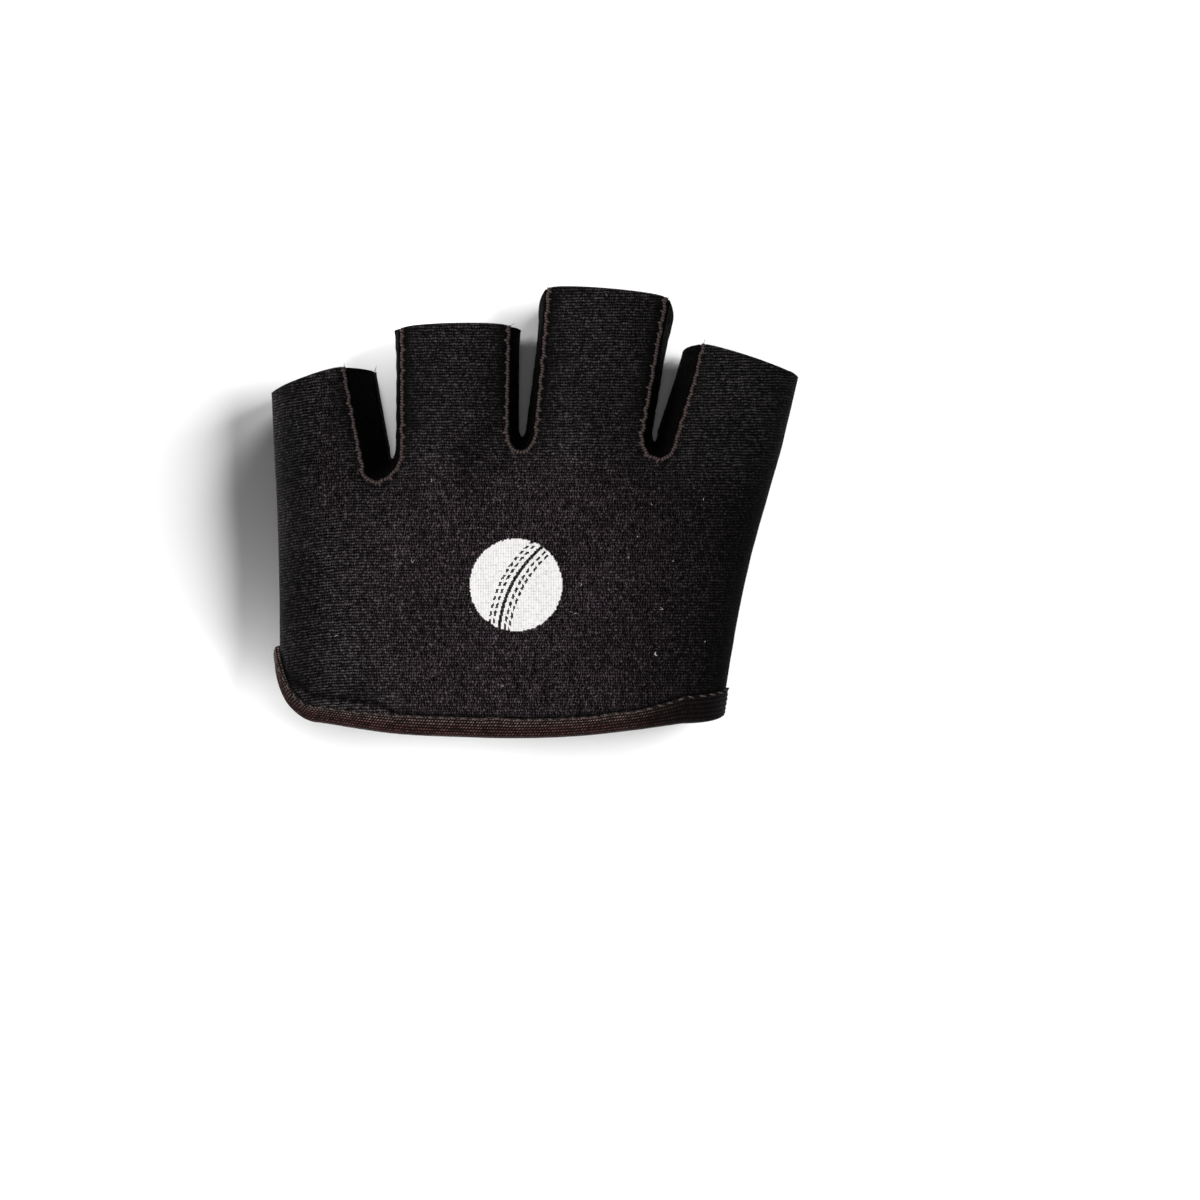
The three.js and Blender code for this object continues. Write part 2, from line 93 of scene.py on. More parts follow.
def bell(value: Array, middle: Array | float, width: Array | float) -> Array:
    """Bell curve that is 1 at its middle and exp(-1) a width away from it."""
    return np.exp(-(((value - middle) / width) ** 2))


def beat(along: Array, pitch: float, phase: Array | float = 0.0) -> Array:
    """Cosine wave from 0 to 1 whose crests lie a pitch apart."""
    return 0.5 + 0.5 * np.cos(2 * np.pi * along / pitch + phase)


def length_along(points: Array) -> Array:
    """Length along a path of straight spans, at each of its points."""
    return np.concatenate([[0], np.cumsum(np.linalg.norm(np.diff(points, axis=0), axis=1))])


def ring_angles(sides: int) -> Array:
    """Even angles round a ring."""
    return np.arange(sides) * 2 * np.pi / sides


def ripple(points: Array, wavelength: float, seed: int, waves: int = 7) -> Array:
    """Smooth random relief between about -1 and 1.

    It is the mean of plane sine waves with random directions and phases, whose lengths lie round the
    given one.

    Args:
        points: positions, one row each.
        wavelength: the typical distance between crests.
        seed: the number that fixes the pattern.
        waves: how many waves are added.

    Returns:
        One height for each position.
    """
    rng = np.random.default_rng(seed)
    direction = unit(rng.normal(size=(waves, points.shape[-1])))
    length = wavelength * rng.uniform(0.7, 1.5, waves)
    phase = rng.uniform(0, 2 * np.pi, waves)
    return np.sin(points @ direction.T * (2 * np.pi / length) + phase).mean(axis=-1) * 1.8


def nearest_on_path(points: Array, path: Array, closed: bool = False) -> tuple[Array, Array]:
    """Distance from each point to a path of straight spans, and how far along the path that is.

    Args:
        points: positions, (n, 2) or (n, 3).
        path: the path's corners in order.
        closed: whether the last corner joins the first.

    Returns:
        Distances, and lengths along the path to the nearest places.
    """
    start = path if closed else path[:-1]
    way = (np.roll(path, -1, axis=0) if closed else path[1:]) - start
    length = np.linalg.norm(way, axis=1)
    before = np.concatenate([[0], np.cumsum(length)[:-1]])
    best = np.full(len(points), np.inf)
    along = np.zeros(len(points))
    for first, step, span, so_far in zip(start, way, length, before):
        t = np.clip((points - first) @ step / max(span * span, 1e-12), 0, 1)
        distance = np.linalg.norm(points - first - t[:, None] * step, axis=1)
        closer = distance < best
        best = np.where(closer, distance, best)
        along = np.where(closer, so_far + t * span, along)
    return best, along


def inside_outline(points: Array, outline: Array) -> Array:
    """Whether points of the plan lie in a closed outline: a ray to +X crosses it an odd number of times."""
    inside = np.zeros(len(points), bool)
    for (x0, y0), (x1, y1) in zip(outline, np.roll(outline, -1, axis=0)):
        crosses = (y0 > points[:, 1]) != (y1 > points[:, 1])
        at = x0 + (points[:, 1] - y0) * (x1 - x0) / (y1 - y0 if y1 != y0 else 1)
        inside ^= crosses & (points[:, 0] < at)
    return inside


@dataclass
class SurfacePath:
    """A path that lies on a cloth surface: its points, and the way out of the cloth at each."""

    points: Array
    outward: Array

    def resampled(self, step: float) -> "SurfacePath":
        """The same path with even steps of about the given length."""
        along = self.along
        at = np.linspace(0, along[-1], max(int(round(along[-1] / step)), 2) + 1)
        points, outward = (
            np.stack([np.interp(at, along, values[:, k]) for k in range(3)], axis=1)
            for values in (self.points, self.outward)
        )
        return SurfacePath(points, unit(outward))

    def softened(self, rounds: int) -> "SurfacePath":
        """The path with eased corners: each inner point moves towards the mean of its neighbours."""
        points, outward = self.points.copy(), self.outward.copy()
        for _ in range(rounds):
            points[1:-1] = (points[:-2] + 2 * points[1:-1] + points[2:]) / 4
            outward[1:-1] = (outward[:-2] + 2 * outward[1:-1] + outward[2:]) / 4
        return SurfacePath(points, unit(outward))

    @property
    def along(self) -> Array:
        """Length along the path at each point."""
        return length_along(self.points)

    @property
    def axes(self) -> tuple[Array, Array, Array]:
        """Way along the path, way out of the cloth square to it, and their product, the way across."""
        way = unit(np.gradient(self.points, axis=0))
        outward = unit(self.outward - (self.outward * way).sum(axis=1, keepdims=True) * way)
        return way, outward, np.cross(way, outward)


# Meshes


@dataclass
class Surface:
    """A mesh in the making: vertices in millimetres and faces in groups, each with its finish."""

    vertices: Array
    faces: list[Array] = field(default_factory=list)
    finishes: list[int] = field(default_factory=list)
    cloth: Array | None = None
    marks: dict[str, Array] = field(default_factory=dict)

    def add_faces(self, faces: Array, finish: int = 0) -> None:
        """Add faces with one number of corners, all of one finish."""
        self.faces.append(faces)
        self.finishes.append(finish)

    def joined(self, other: "Surface") -> "Surface":
        """This surface and another as one.

        Args:
            other: what is added, with its marks or zeros for missing ones.

        Returns:
            The whole.
        """
        shift = len(self.vertices)
        marks = {
            name: np.concatenate([self.marks[name], other.marks.get(name, np.zeros(len(other.vertices)))])
            for name in self.marks
        }
        cloth = None if self.cloth is None else np.concatenate([self.cloth, other.cloth])
        return Surface(
            np.concatenate([self.vertices, other.vertices]),
            self.faces + [faces + shift for faces in other.faces],
            self.finishes + other.finishes,
            cloth,
            marks,
        )

    def build(self, name: str, materials: list[Material], crease_deg: float = 60) -> Thing:
        """Write the surface as a Blender object at the origin.

        Args:
            name: the object's name.
            materials: one for each finish number.
            crease_deg: edges sharper than this aren't smoothed over.

        Returns:
            The new object, linked to the scene.
        """
        mesh = bpy.data.meshes.new(name)
        totals = np.concatenate([np.full(len(f), f.shape[1]) for f in self.faces])
        corners = np.concatenate([f.ravel() for f in self.faces])
        finish = np.concatenate([np.full(len(f), m) for f, m in zip(self.faces, self.finishes)])
        mesh.vertices.add(len(self.vertices))
        mesh.vertices.foreach_set("co", (self.vertices * MM).astype(np.float32).ravel())
        mesh.loops.add(len(corners))
        mesh.loops.foreach_set("vertex_index", corners.astype(np.int32))
        mesh.polygons.add(len(totals))
        mesh.polygons.foreach_set("loop_start", (np.cumsum(totals) - totals).astype(np.int32))
        mesh.polygons.foreach_set("loop_total", totals.astype(np.int32))
        mesh.polygons.foreach_set("material_index", finish.astype(np.int32))
        mesh.polygons.foreach_set("use_smooth", np.ones(len(totals), bool))
        mesh.update(calc_edges=True)
        if self.cloth is not None:
            layer = mesh.uv_layers.new(name="cloth")
            layer.data.foreach_set("uv", self.cloth[corners].astype(np.float32).ravel())
        for mark, values in self.marks.items():
            attribute = mesh.attributes.new(mark, "FLOAT", "POINT")
            attribute.data.foreach_set("value", values.astype(np.float32))
        mesh.set_sharp_from_angle(angle=math.radians(crease_deg))
        for material in materials:
            mesh.materials.append(material)
        mesh.validate()
        piece = bpy.data.objects.new(name, mesh)
        bpy.context.scene.collection.objects.link(piece)
        return piece


def merged(parts: list[Surface]) -> Surface:
    """Several surfaces as one, in their order."""
    whole = parts[0]
    for part in parts[1:]:
        whole = whole.joined(part)
    return whole


def cloth_grid(first: Array, second: Array, shape: tuple) -> Array:
    """Cloth coordinates of a grid's vertices, one row each, from two that fit the grid's shape."""
    return np.stack([np.broadcast_to(first, shape), np.broadcast_to(second, shape)], axis=-1).reshape(-1, 2)


def grid_faces(rows: int, columns: int, closed: bool = False, first: int = 0) -> Array:
    """Quads of a grid of vertices that is numbered row by row.

    Args:
        rows: number of rows of vertices.
        columns: number of vertices in a row.
        closed: whether each row's last vertex joins its first.
        first: number of the first vertex.

    Returns:
        Quads that face the product of the way along a row and the way from row to row.
    """
    row, column = np.meshgrid(np.arange(rows - 1), np.arange(columns - (not closed)), indexing="ij")
    near = row * columns + column
    far = row * columns + (column + 1) % columns
    return np.stack([near, far, far + columns, near + columns], axis=-1).reshape(-1, 4) + first


def vertex_normals(points: Array, quads: Array) -> Array:
    """Mean way out of a sheet at each vertex: the sum of its faces' diagonal products, to length 1."""
    a, b, c, d = (points[quads[:, k]] for k in range(4))
    faces = np.cross(c - a, d - b)
    total = np.zeros_like(points)
    np.add.at(total, quads.ravel(), np.repeat(faces, 4, axis=0))
    return unit(total)


def border_edges(faces: Array, count: int) -> Array:
    """Edges that only one face has, as rows (start, end) in the order of that face.

    Args:
        faces: quads of vertex numbers.
        count: number of vertices.

    Returns:
        The edges, sorted by their vertices.
    """
    edges = np.stack([faces, np.roll(faces, -1, axis=1)], axis=-1).reshape(-1, 2)
    key = np.sort(edges, axis=1) @ np.array([count, 1])
    _, index, times = np.unique(key, return_index=True, return_counts=True)
    return edges[index[times == 1]]


def rope(path: SurfacePath, radius: Array, finish: int = 0) -> Surface:
    """A closed round body along a path: at each station a ring of the given radii, in even angles.

    A ring's point at angle a lies at radius times (cos a outwards + sin a across), and the angles run the
    short way round, so that the faces point outwards. Both ends are closed by one face.

    Args:
        path: the stations.
        radius: radii, (stations, sides).
        finish: number of its finish.

    Returns:
        The body, with the length along the path and the angle round it as its cloth coordinates.
    """
    stations, sides = radius.shape
    _, outward, across = path.axes
    angle = ring_angles(sides)
    ring = np.cos(angle)[None, :, None] * outward[:, None] + np.sin(angle)[None, :, None] * across[:, None]
    vertices = (path.points[:, None] + radius[..., None] * ring).reshape(-1, 3)
    cloth = cloth_grid(path.along[:, None], angle * radius.mean(), radius.shape)
    body = Surface(vertices, cloth=cloth, marks={"strand": np.ones(stations * sides)})
    body.add_faces(grid_faces(stations, sides, closed=True), finish)
    last = (stations - 1) * sides
    body.add_faces(np.arange(sides)[None, ::-1], finish)
    body.add_faces(last + np.arange(sides)[None, :], finish)
    return body


def stitches(
    path: SurfacePath, pitch: float, length: float, radius: float, seed: int, skew: float = 0.0
) -> Surface:
    """A row of separate thread stitches, each a short rounded bar that dips into the cloth at both ends.

    A bar's station at t from -1 to 1 lies length times t / 2 along the path, and radius times (1.1 - 2.4 t^2)
    out of the cloth. Its radius there is the thread's times the root of 1 - t^4.

    Args:
        path: the seam line.
        pitch: distance from stitch to stitch.
        length: length of one stitch.
        radius: radius of the thread.
        seed: the number that fixes the small differences between stitches.
        skew: how far the ends lie to the two sides of the line.

    Returns:
        All the stitches as one surface.
    """
    sides, stations = 6, 7
    rng = np.random.default_rng(seed)
    along = path.along
    count = max(int((along[-1] - length) / pitch), 1)
    middle = (np.arange(count) + 0.5) * (along[-1] / count) + rng.normal(0, 0.05 * pitch, count)
    t = np.linspace(-1, 1, stations)
    size = length * (1 + rng.normal(0, 0.06, count))
    at = middle[:, None] + size[:, None] * t / 2
    _, outward, across = path.axes

    def read(values: Array) -> Array:
        """Values of the path at each stitch's stations."""
        return np.stack([np.interp(at, along, values[:, k]) for k in range(3)], axis=-1)

    lean = skew + rng.normal(0, 0.08, count)
    out, over = unit(read(outward)), unit(read(across))
    centre = read(path.points) + out * (radius * (1.1 - 2.4 * t**2))[None, :, None]
    centre = centre + over * (lean[:, None] * t)[..., None]
    thread = radius * np.maximum(1 - t**4, 0.02) ** 0.5
    angle = ring_angles(sides)
    ring = np.cos(angle)[:, None] * out[:, :, None] + np.sin(angle)[:, None] * over[:, :, None]
    vertices = centre[:, :, None] + thread[None, :, None, None] * ring
    one = grid_faces(stations, sides, closed=True)
    first = np.arange(count)[:, None, None] * stations * sides
    near = np.arange(sides)[::-1]
    far = (stations - 1) * sides + np.arange(sides)
    cloth = cloth_grid(at[:, :, None], angle * radius, vertices.shape[:3])
    # painted shade: each stitch darkens towards its ends, where it dips into the cloth
    strand = np.broadcast_to((1 - 0.7 * t**4)[None, :, None], vertices.shape[:3]).ravel()
    row = Surface(vertices.reshape(-1, 3), cloth=cloth, marks={"strand": strand})
    row.add_faces((one[None] + first).reshape(-1, 4))
    row.add_faces(np.concatenate([first[:, 0] + near, first[:, 0] + far]))
    return row


# Finishes


class Shader:
    """A material's nodes, built by short calls."""

    def __init__(self, name: str) -> None:
        """Start an empty material of that name."""
        self.material = bpy.data.materials.new(name)
        self.material.use_nodes = True
        self.tree = self.material.node_tree
        self.tree.nodes.clear()
        self.body = self.tree.nodes.new("ShaderNodeBsdfPrincipled")
        output = self.tree.nodes.new("ShaderNodeOutputMaterial")
        self.tree.links.new(self.body.outputs["BSDF"], output.inputs["Surface"])

    def connect(self, source: object, socket: Socket) -> None:
        """Set a socket from a number, a colour or another socket."""
        if isinstance(source, Socket):
            self.tree.links.new(source, socket)
        else:
            socket.default_value = source

    def math(self, operation: str, *values: object) -> Socket:
        """Result of a Math node on numbers or sockets."""
        node = self.tree.nodes.new("ShaderNodeMath")
        node.operation = operation
        for value, socket in zip(values, node.inputs):
            self.connect(value, socket)
        return node.outputs[0]

    def times(self, first: object, second: object) -> Socket:
        """Product of two numbers."""
        return self.math("MULTIPLY", first, second)

    def plus(self, first: object, second: object) -> Socket:
        """Sum of two numbers."""
        return self.math("ADD", first, second)

    def scaled(self, value: object, factor: object, shift: object) -> Socket:
        """Value times factor plus shift."""
        return self.math("MULTIPLY_ADD", value, factor, shift)

    def one_minus(self, value: object) -> Socket:
        """What is left of 1."""
        return self.math("SUBTRACT", 1, value)

    def wave(self, position: object, period: float = 1.0, phase: float = -QUARTER_TURN) -> Socket:
        """0.5 + 0.5 sin(2 pi position / period + phase), which starts at 0 when no phase is given."""
        angle = self.scaled(position, 2 * math.pi / period, phase)
        return self.scaled(self.math("SINE", angle), 0.5, 0.5)

    def cloth(self) -> tuple[Socket, Socket]:
        """The piece's own cloth coordinates in millimetres."""
        source = self.tree.nodes.new("ShaderNodeUVMap")
        source.uv_map = "cloth"
        parts = self.tree.nodes.new("ShaderNodeSeparateXYZ")
        self.connect(source.outputs["UV"], parts.inputs[0])
        return parts.outputs[0], parts.outputs[1]

    def noise(self, size_mm: float, detail: float = 2.0, rough: float = 0.5) -> Socket:
        """Noise on the piece's Object coordinates, with features of about the given size."""
        source = self.tree.nodes.new("ShaderNodeTexCoord")
        node = self.tree.nodes.new("ShaderNodeTexNoise")
        self.connect(source.outputs["Object"], node.inputs["Vector"])
        node.inputs["Scale"].default_value = 1 / (size_mm * MM)
        node.inputs["Detail"].default_value = detail
        node.inputs["Roughness"].default_value = rough
        return node.outputs["Fac"]

    def cell_noise(self, u: object, v: object) -> Socket:
        """A random number from 0 to 1 for each unit cell of two coordinates."""
        corner = self.tree.nodes.new("ShaderNodeCombineXYZ")
        self.connect(self.math("FLOOR", u), corner.inputs[0])
        self.connect(self.math("FLOOR", v), corner.inputs[1])
        node = self.tree.nodes.new("ShaderNodeTexWhiteNoise")
        node.noise_dimensions = "2D"
        self.connect(corner.outputs[0], node.inputs["Vector"])
        return node.outputs["Value"]

    def mark(self, name: str) -> Socket:
        """A number stored at the mesh's vertices."""
        node = self.tree.nodes.new("ShaderNodeAttribute")
        node.attribute_name = name
        return node.outputs["Fac"]

    def blend_number(self, share: object, first: object, second: object) -> Socket:
        """A number between two others."""
        node = self.tree.nodes.new("ShaderNodeMix")
        for value, socket in zip((share, first, second), (node.inputs[0], node.inputs[2], node.inputs[3])):
            self.connect(value, socket)
        return node.outputs[0]

    def spread(self, value: object, low: float, high: float, least: float = 0.0, most: float = 1.0) -> Socket:
        """A number carried from one range to another, held inside the new one."""
        node = self.tree.nodes.new("ShaderNodeMapRange")
        for number, socket in zip((value, low, high, least, most), node.inputs):
            self.connect(number, socket)
        return node.outputs[0]

    def blend(self, share: object, first: object, second: object) -> Socket:
        """A colour between two others."""
        node = self.tree.nodes.new("ShaderNodeMix")
        node.data_type = "RGBA"
        self.connect(share, node.inputs[0])
        self.connect(first, node.inputs[6])
        self.connect(second, node.inputs[7])
        return node.outputs[2]

    def tinted(self, lightness: object, colour: object) -> Socket:
        """A colour made lighter or darker."""
        node = self.tree.nodes.new("ShaderNodeHueSaturation")
        self.connect(lightness, node.inputs["Value"])
        self.connect(colour, node.inputs["Color"])
        return node.outputs[0]

    def paint(self, colour: object, roughness: object) -> None:
        """Give the shader its colour and its roughness."""
        self.connect(colour, self.body.inputs["Base Color"])
        self.connect(roughness, self.body.inputs["Roughness"])

    def raise_by(self, height: object, depth_mm: float, strength: float = 1.0) -> None:
        """Give the surface a relief of that depth where height goes from 0 to 1."""
        node = self.tree.nodes.new("ShaderNodeBump")
        node.inputs["Strength"].default_value = strength
        node.inputs["Distance"].default_value = depth_mm * MM
        self.connect(height, node.inputs["Height"])
        self.connect(node.outputs[0], self.body.inputs["Normal"])

    def fix(self, **values: float) -> None:
        """Set constant sockets of the shader, with underscores for spaces in their names."""
        for name, value in values.items():
            self.body.inputs[name.replace("_", " ")].default_value = value


def rgb(red: float, green: float, blue: float) -> tuple[float, float, float, float]:
    """A colour in linear light, from 0 to 1."""
    return (red, green, blue, 1.0)


@dataclass(frozen=True)
class KnitFinish:
    """Jersey on foam: small loops in upright columns and level bars, each a little lighter or darker.

    The pairs "loose" and "tight" weigh the dark between columns and between bars. The other pairs are a
    random share's span and its least value, or the two ends of a range.
    """

    name: str
    thread: tuple
    stretched: tuple
    shade: tuple
    course_mm: float = 0.575
    wale_mm: float = 0.5
    wander_mm: float = 0.22
    jitter_mm: float = 0.24
    relief_mm: float = 0.13
    fuzz: float = 0.02
    roughness: tuple = (0.82, 0.96)
    wander_size_mm: float = 3.2
    jitter_size_mm: float = 0.95
    sideways_size_mm: float = 0.9
    patch_size_mm: float = 11.0
    tone_size_mm: float = 9.0
    fibre_size_mm: float = 0.2
    loose: tuple = (0.62, 0.3)
    tight: tuple = (0.25, 0.72)
    meeting: float = 0.35
    hole_shares: tuple = (0.7, 0.65)
    loop_shares: tuple = (0.6, 0.6)
    fray: float = 1.5
    bright_range: tuple = (0.1, 1.15)
    tones: tuple = (0.86, 1.12)
    # how strongly the painted light and shade of the mark change the knit's lightness
    light_and_tone_gain: float = 0.5
    # colour of the painted shade in sunk places
    sunk_shade: tuple = rgb(0.001, 0.0008, 0.0008)

    def material(self) -> Material:
        """Light loops on a dark ground.

        The ground is dark between two columns by 1 - wale and between two bars by 1 - course. Columns show
        most where the mark "rows" is low, and bars where it is high. Each loop has its own lightness and
        place, and fibre noise breaks it up. The mark "light_and_tone" carries painted light and shade with
        random tone, and the mark "sunk" darkens the knit with painted shade.

        Returns:
            The material.
        """
        s = Shader(self.name)
        across, along = s.cloth()

        def sway(size: float, reach: float) -> Socket:
            """A shift of the pattern that goes from -reach to reach."""
            return s.scaled(s.noise(size), 2 * reach, -reach)

        climb = s.plus(sway(self.wander_size_mm, self.wander_mm), sway(self.jitter_size_mm, self.jitter_mm))
        v = s.math("DIVIDE", s.plus(along, climb), self.course_mm)
        shift = sway(self.sideways_size_mm, 3 * self.jitter_mm)
        u = s.math("DIVIDE", s.plus(across, shift), self.wale_mm)
        wale, course = s.wave(u), s.wave(v)
        line, column = s.one_minus(course), s.one_minus(wale)
        rows = s.spread(s.scaled(s.noise(self.patch_size_mm, 1), 0.5, s.mark("rows")), 0.2, 1.1)
        meet = s.times(s.times(line, column), self.meeting)
        loose = s.scaled(column, self.loose[0], s.scaled(line, self.loose[1], meet))
        tight = s.scaled(line, self.tight[1], s.scaled(column, self.tight[0], meet))
        uneven = s.scaled(s.cell_noise(v, u), *self.hole_shares)
        raised = s.one_minus(s.times(s.blend_number(rows, loose, tight), uneven))
        fibre = s.noise(self.fibre_size_mm, 3, 0.75)
        bright = s.times(raised, s.scaled(s.cell_noise(u, v), *self.loop_shares))
        bright = s.plus(bright, s.scaled(fibre, self.fray, -self.fray / 2))
        light = s.math("POWER", s.spread(bright, *self.bright_range), 2.0)
        tone = s.spread(s.noise(self.tone_size_mm, 3, 0.55), *NOISE_RANGE, *self.tones)
        # painted light and shade from the mark, times random tone
        wear_and_painted_light = s.times(s.scaled(s.mark("light_and_tone"), self.light_and_tone_gain, 1.0), tone)
        colour = s.blend(light, self.shade, s.blend(rows, self.thread, self.stretched))
        # painted shade: sunk places blend towards a near-black colour
        colour = s.blend(s.mark("sunk"), s.tinted(wear_and_painted_light, colour), self.sunk_shade)
        s.paint(colour, s.spread(fibre, *NOISE_RANGE, *self.roughness))
        s.fix(Sheen_Weight=self.fuzz, Sheen_Roughness=0.5, Specular_IOR_Level=0.04)
        s.raise_by(s.scaled(fibre, 0.5, s.times(raised, 0.8)), self.relief_mm)
        return s.material


@dataclass(frozen=True)
class ThreadFinish:
    """Sewing thread: light on its strands, with painted shade between them and random grime."""

    name: str
    light: tuple
    dark: tuple
    grime_size_mm: float = 0.7
    roughness: tuple = (0.62, 0.86)
    relief_mm: float = 0.05

    def material(self) -> Material:
        """Colour follows the mark "strand": painted light on top of a strand and painted shade between two,
        plus random grime.
        """
        s = Shader(self.name)
        grime = s.noise(self.grime_size_mm, 3, 0.65)
        share = s.spread(s.scaled(s.mark("strand"), 0.75, s.times(grime, 0.7)), 0.35, 1.1)
        s.paint(s.blend(share, self.dark, self.light), s.spread(grime, *NOISE_RANGE, *self.roughness))
        s.fix(Sheen_Weight=0.06, Specular_IOR_Level=0.2)
        s.raise_by(s.noise(0.14, 2), self.relief_mm)
        return s.material


@dataclass(frozen=True)
class TapeFinish:
    """Ribbed binding tape: rows of small loops along its length, beige above and redder towards its fold."""

    name: str = "tape_knit"
    upper: tuple = rgb(0.33, 0.225, 0.2)
    lower: tuple = rgb(0.16, 0.066, 0.062)
    dark: tuple = rgb(0.0025, 0.0008, 0.0009)
    loop_mm: float = 0.58
    rib_mm: float = 0.6
    relief_mm: float = 0.12
    lean: float = 0.6
    shares: tuple = (0.75, 0.25)
    loop_shares: tuple = (0.6, 0.7)
    fray: float = 0.8
    bright_range: tuple = (0.15, 1.0)
    tones: tuple = (0.85, 1.15)

    def material(self) -> Material:
        """Loops are a wave along the tape whose phase climbs over each rib, so that they lean.

        Returns:
            The material.
        """
        s = Shader(self.name)
        along, width = s.cloth()
        v = s.math("DIVIDE", s.scaled(s.noise(1.6), 0.1, width), self.rib_mm)
        u = s.math("DIVIDE", s.scaled(s.noise(1.2), 0.3, along), self.loop_mm)
        rib = s.math("POWER", s.wave(v), 1.2)
        loop = s.wave(s.scaled(v, self.lean, u))
        fibre = s.noise(0.2, 3, 0.7)
        weave = s.times(s.scaled(rib, *self.shares), s.scaled(loop, *self.shares))
        bright = s.times(weave, s.scaled(s.cell_noise(u, v), *self.loop_shares))
        bright = s.plus(bright, s.scaled(fibre, self.fray, -self.fray / 2))
        light = s.math("POWER", s.spread(bright, *self.bright_range), 2.0)
        # random tone times the painted shade that the mark carries
        wardrobe_or_tape_shade = s.times(s.spread(s.noise(6, 2), *NOISE_RANGE, *self.tones), s.plus(s.mark("light_and_tone"), 1))
        colour = s.blend(light, self.dark, s.blend(s.mark("low"), self.upper, self.lower))
        s.paint(s.tinted(wardrobe_or_tape_shade, colour), 0.8)
        s.fix(Sheen_Weight=0.04, Sheen_Roughness=0.4, Specular_IOR_Level=0.1)
        s.raise_by(s.scaled(fibre, 0.3, weave), self.relief_mm)
        return s.material


@dataclass(frozen=True)
class FoamFinish:
    """Cut edge of the foam between two knits: fine cells, brownish and dull."""

    name: str = "cut_foam"
    light: tuple = rgb(0.024, 0.018, 0.016)
    dark: tuple = rgb(0.005, 0.0036, 0.0034)

    def material(self) -> Material:
        """Colour and relief follow a fine noise."""
        s = Shader(self.name)
        cells = s.noise(0.35, 4, 0.7)
        s.paint(s.blend(s.spread(cells, 0.35, 0.7), self.dark, self.light), 0.95)
        s.fix(Specular_IOR_Level=0.15)
        s.raise_by(cells, 0.15)
        return s.material


@dataclass(frozen=True)
class InkFinish:
    """White print on knit: the loops show through as relief, and the ink is thinner between them."""

    name: str = "white_print"
    ink: tuple = rgb(0.86, 0.85, 0.84)
    thin: tuple = rgb(0.52, 0.5, 0.49)
    course_mm: float = 0.575
    wale_mm: float = 0.5

    def material(self) -> Material:
        """The ink's colour follows the same loop waves as the cloth under it.

        Returns:
            The material.
        """
        s = Shader(self.name)
        across, along = s.cloth()
        loop = s.times(s.wave(along, self.course_mm, 0.0), s.wave(across, self.wale_mm, 0.0))
        wear_and_painted_light = s.noise(0.6, 3, 0.6)
        share = s.spread(s.plus(loop, s.times(wear_and_painted_light, 0.9)), 0.3, 0.6)
        s.paint(s.blend(share, self.thin, self.ink), 0.55)
        s.fix(Specular_IOR_Level=0.35)
        s.raise_by(loop, 0.05)
        return s.material


@dataclass(frozen=True)
class FloorFinish:
    """Plain white paper under the glove."""

    name: str = "white_floor"
    colour: tuple = rgb(0.9, 0.9, 0.9)
    shade: tuple = rgb(0.88, 0.88, 0.88)

    def material(self) -> Material:
        """Dull white with a trace of unevenness."""
        s = Shader(self.name)
        s.paint(s.blend(s.noise(60), self.colour, self.shade), 1.0)
        s.fix(Specular_IOR_Level=0.0)
        return s.material


@dataclass(frozen=True)
class Wardrobe:
    """All the glove's materials, made once."""

    back: Material
    palm: Material
    lining: Material
    web: Material
    foam: Material
    tape: Material
    seam_thread: Material
    tape_thread: Material
    dark_thread: Material
    pad_thread: Material
    tail_thread: Material
    ink: Material
    lint: Material

    @classmethod
    def made(cls) -> "Wardrobe":
        """Make every material.

        Returns:
            The wardrobe.
        """
        plain = {"fuzz": 0.0}
        plush = {"course_mm": 0.7, "wale_mm": 0.62, "wander_mm": 0.4, "relief_mm": 0.17, "fuzz": 0.08}
        lined, dim = rgb(0.03, 0.027, 0.027), rgb(0.0035, 0.0023, 0.0024)
        knits = (
            ("back_jersey", rgb(0.1, 0.076, 0.088), rgb(0.09, 0.081, 0.083), rgb(0.0006, 0.0004, 0.0005), {}),
            ("palm_plush", rgb(0.036, 0.032, 0.039), rgb(0.031, 0.029, 0.033), rgb(0.0015, 0.0013, 0.0017),
             plush),
            ("lining_knit", lined, lined, rgb(0.002, 0.0017, 0.0017), {}),
            ("web_knit", dim, dim, rgb(0.0005, 0.0003, 0.0003), plain),
        )
        threads = (
            ("seam_thread", rgb(0.078, 0.053, 0.05), rgb(0.002, 0.001, 0.001)),
            ("tape_thread", rgb(0.08, 0.064, 0.058), rgb(0.004, 0.0025, 0.0025)),
            ("dark_thread", rgb(0.035, 0.028, 0.03), rgb(0.003, 0.002, 0.002)),
            ("pad_thread", rgb(0.1, 0.092, 0.1), rgb(0.03, 0.027, 0.03)),
            ("tail_thread", rgb(0.13, 0.06, 0.042), rgb(0.02, 0.01, 0.008)),
            ("lint", rgb(0.5, 0.48, 0.46), rgb(0.2, 0.19, 0.18)),
        )
        back, palm, lining, web = (KnitFinish(*knit, **more).material() for *knit, more in knits)
        return cls(
            back=back, palm=palm, lining=lining, web=web,
            foam=FoamFinish().material(), tape=TapeFinish().material(), ink=InkFinish().material(),
            **{name: ThreadFinish(name, light, dark).material() for name, light, dark in threads},
        )


# The glove's form, shared by its pieces


class Side(Enum):
    """The two faces of the glove as it lies."""

    BACK = 1
    PALM = -1


@dataclass(frozen=True)
class Stall:
    """One finger's stall on a panel, as corners (x, y); a corner whose x is None lies on the side seam."""

    root_left: tuple
    root_right: tuple
    tip_left: tuple
    tip_right: tuple
    bow: float


@dataclass(frozen=True)
class Pattern:
    """The cut of one panel: its finger stalls, the ends of its finger gaps and its wrist edge.

    The last field weighs the painted shade on the knit that turns down into each gap's seam, before and after
    the gap.
    """

    side: Side
    stalls: tuple
    gap_ends: Array
    wrist: Array
    seam_shade: tuple


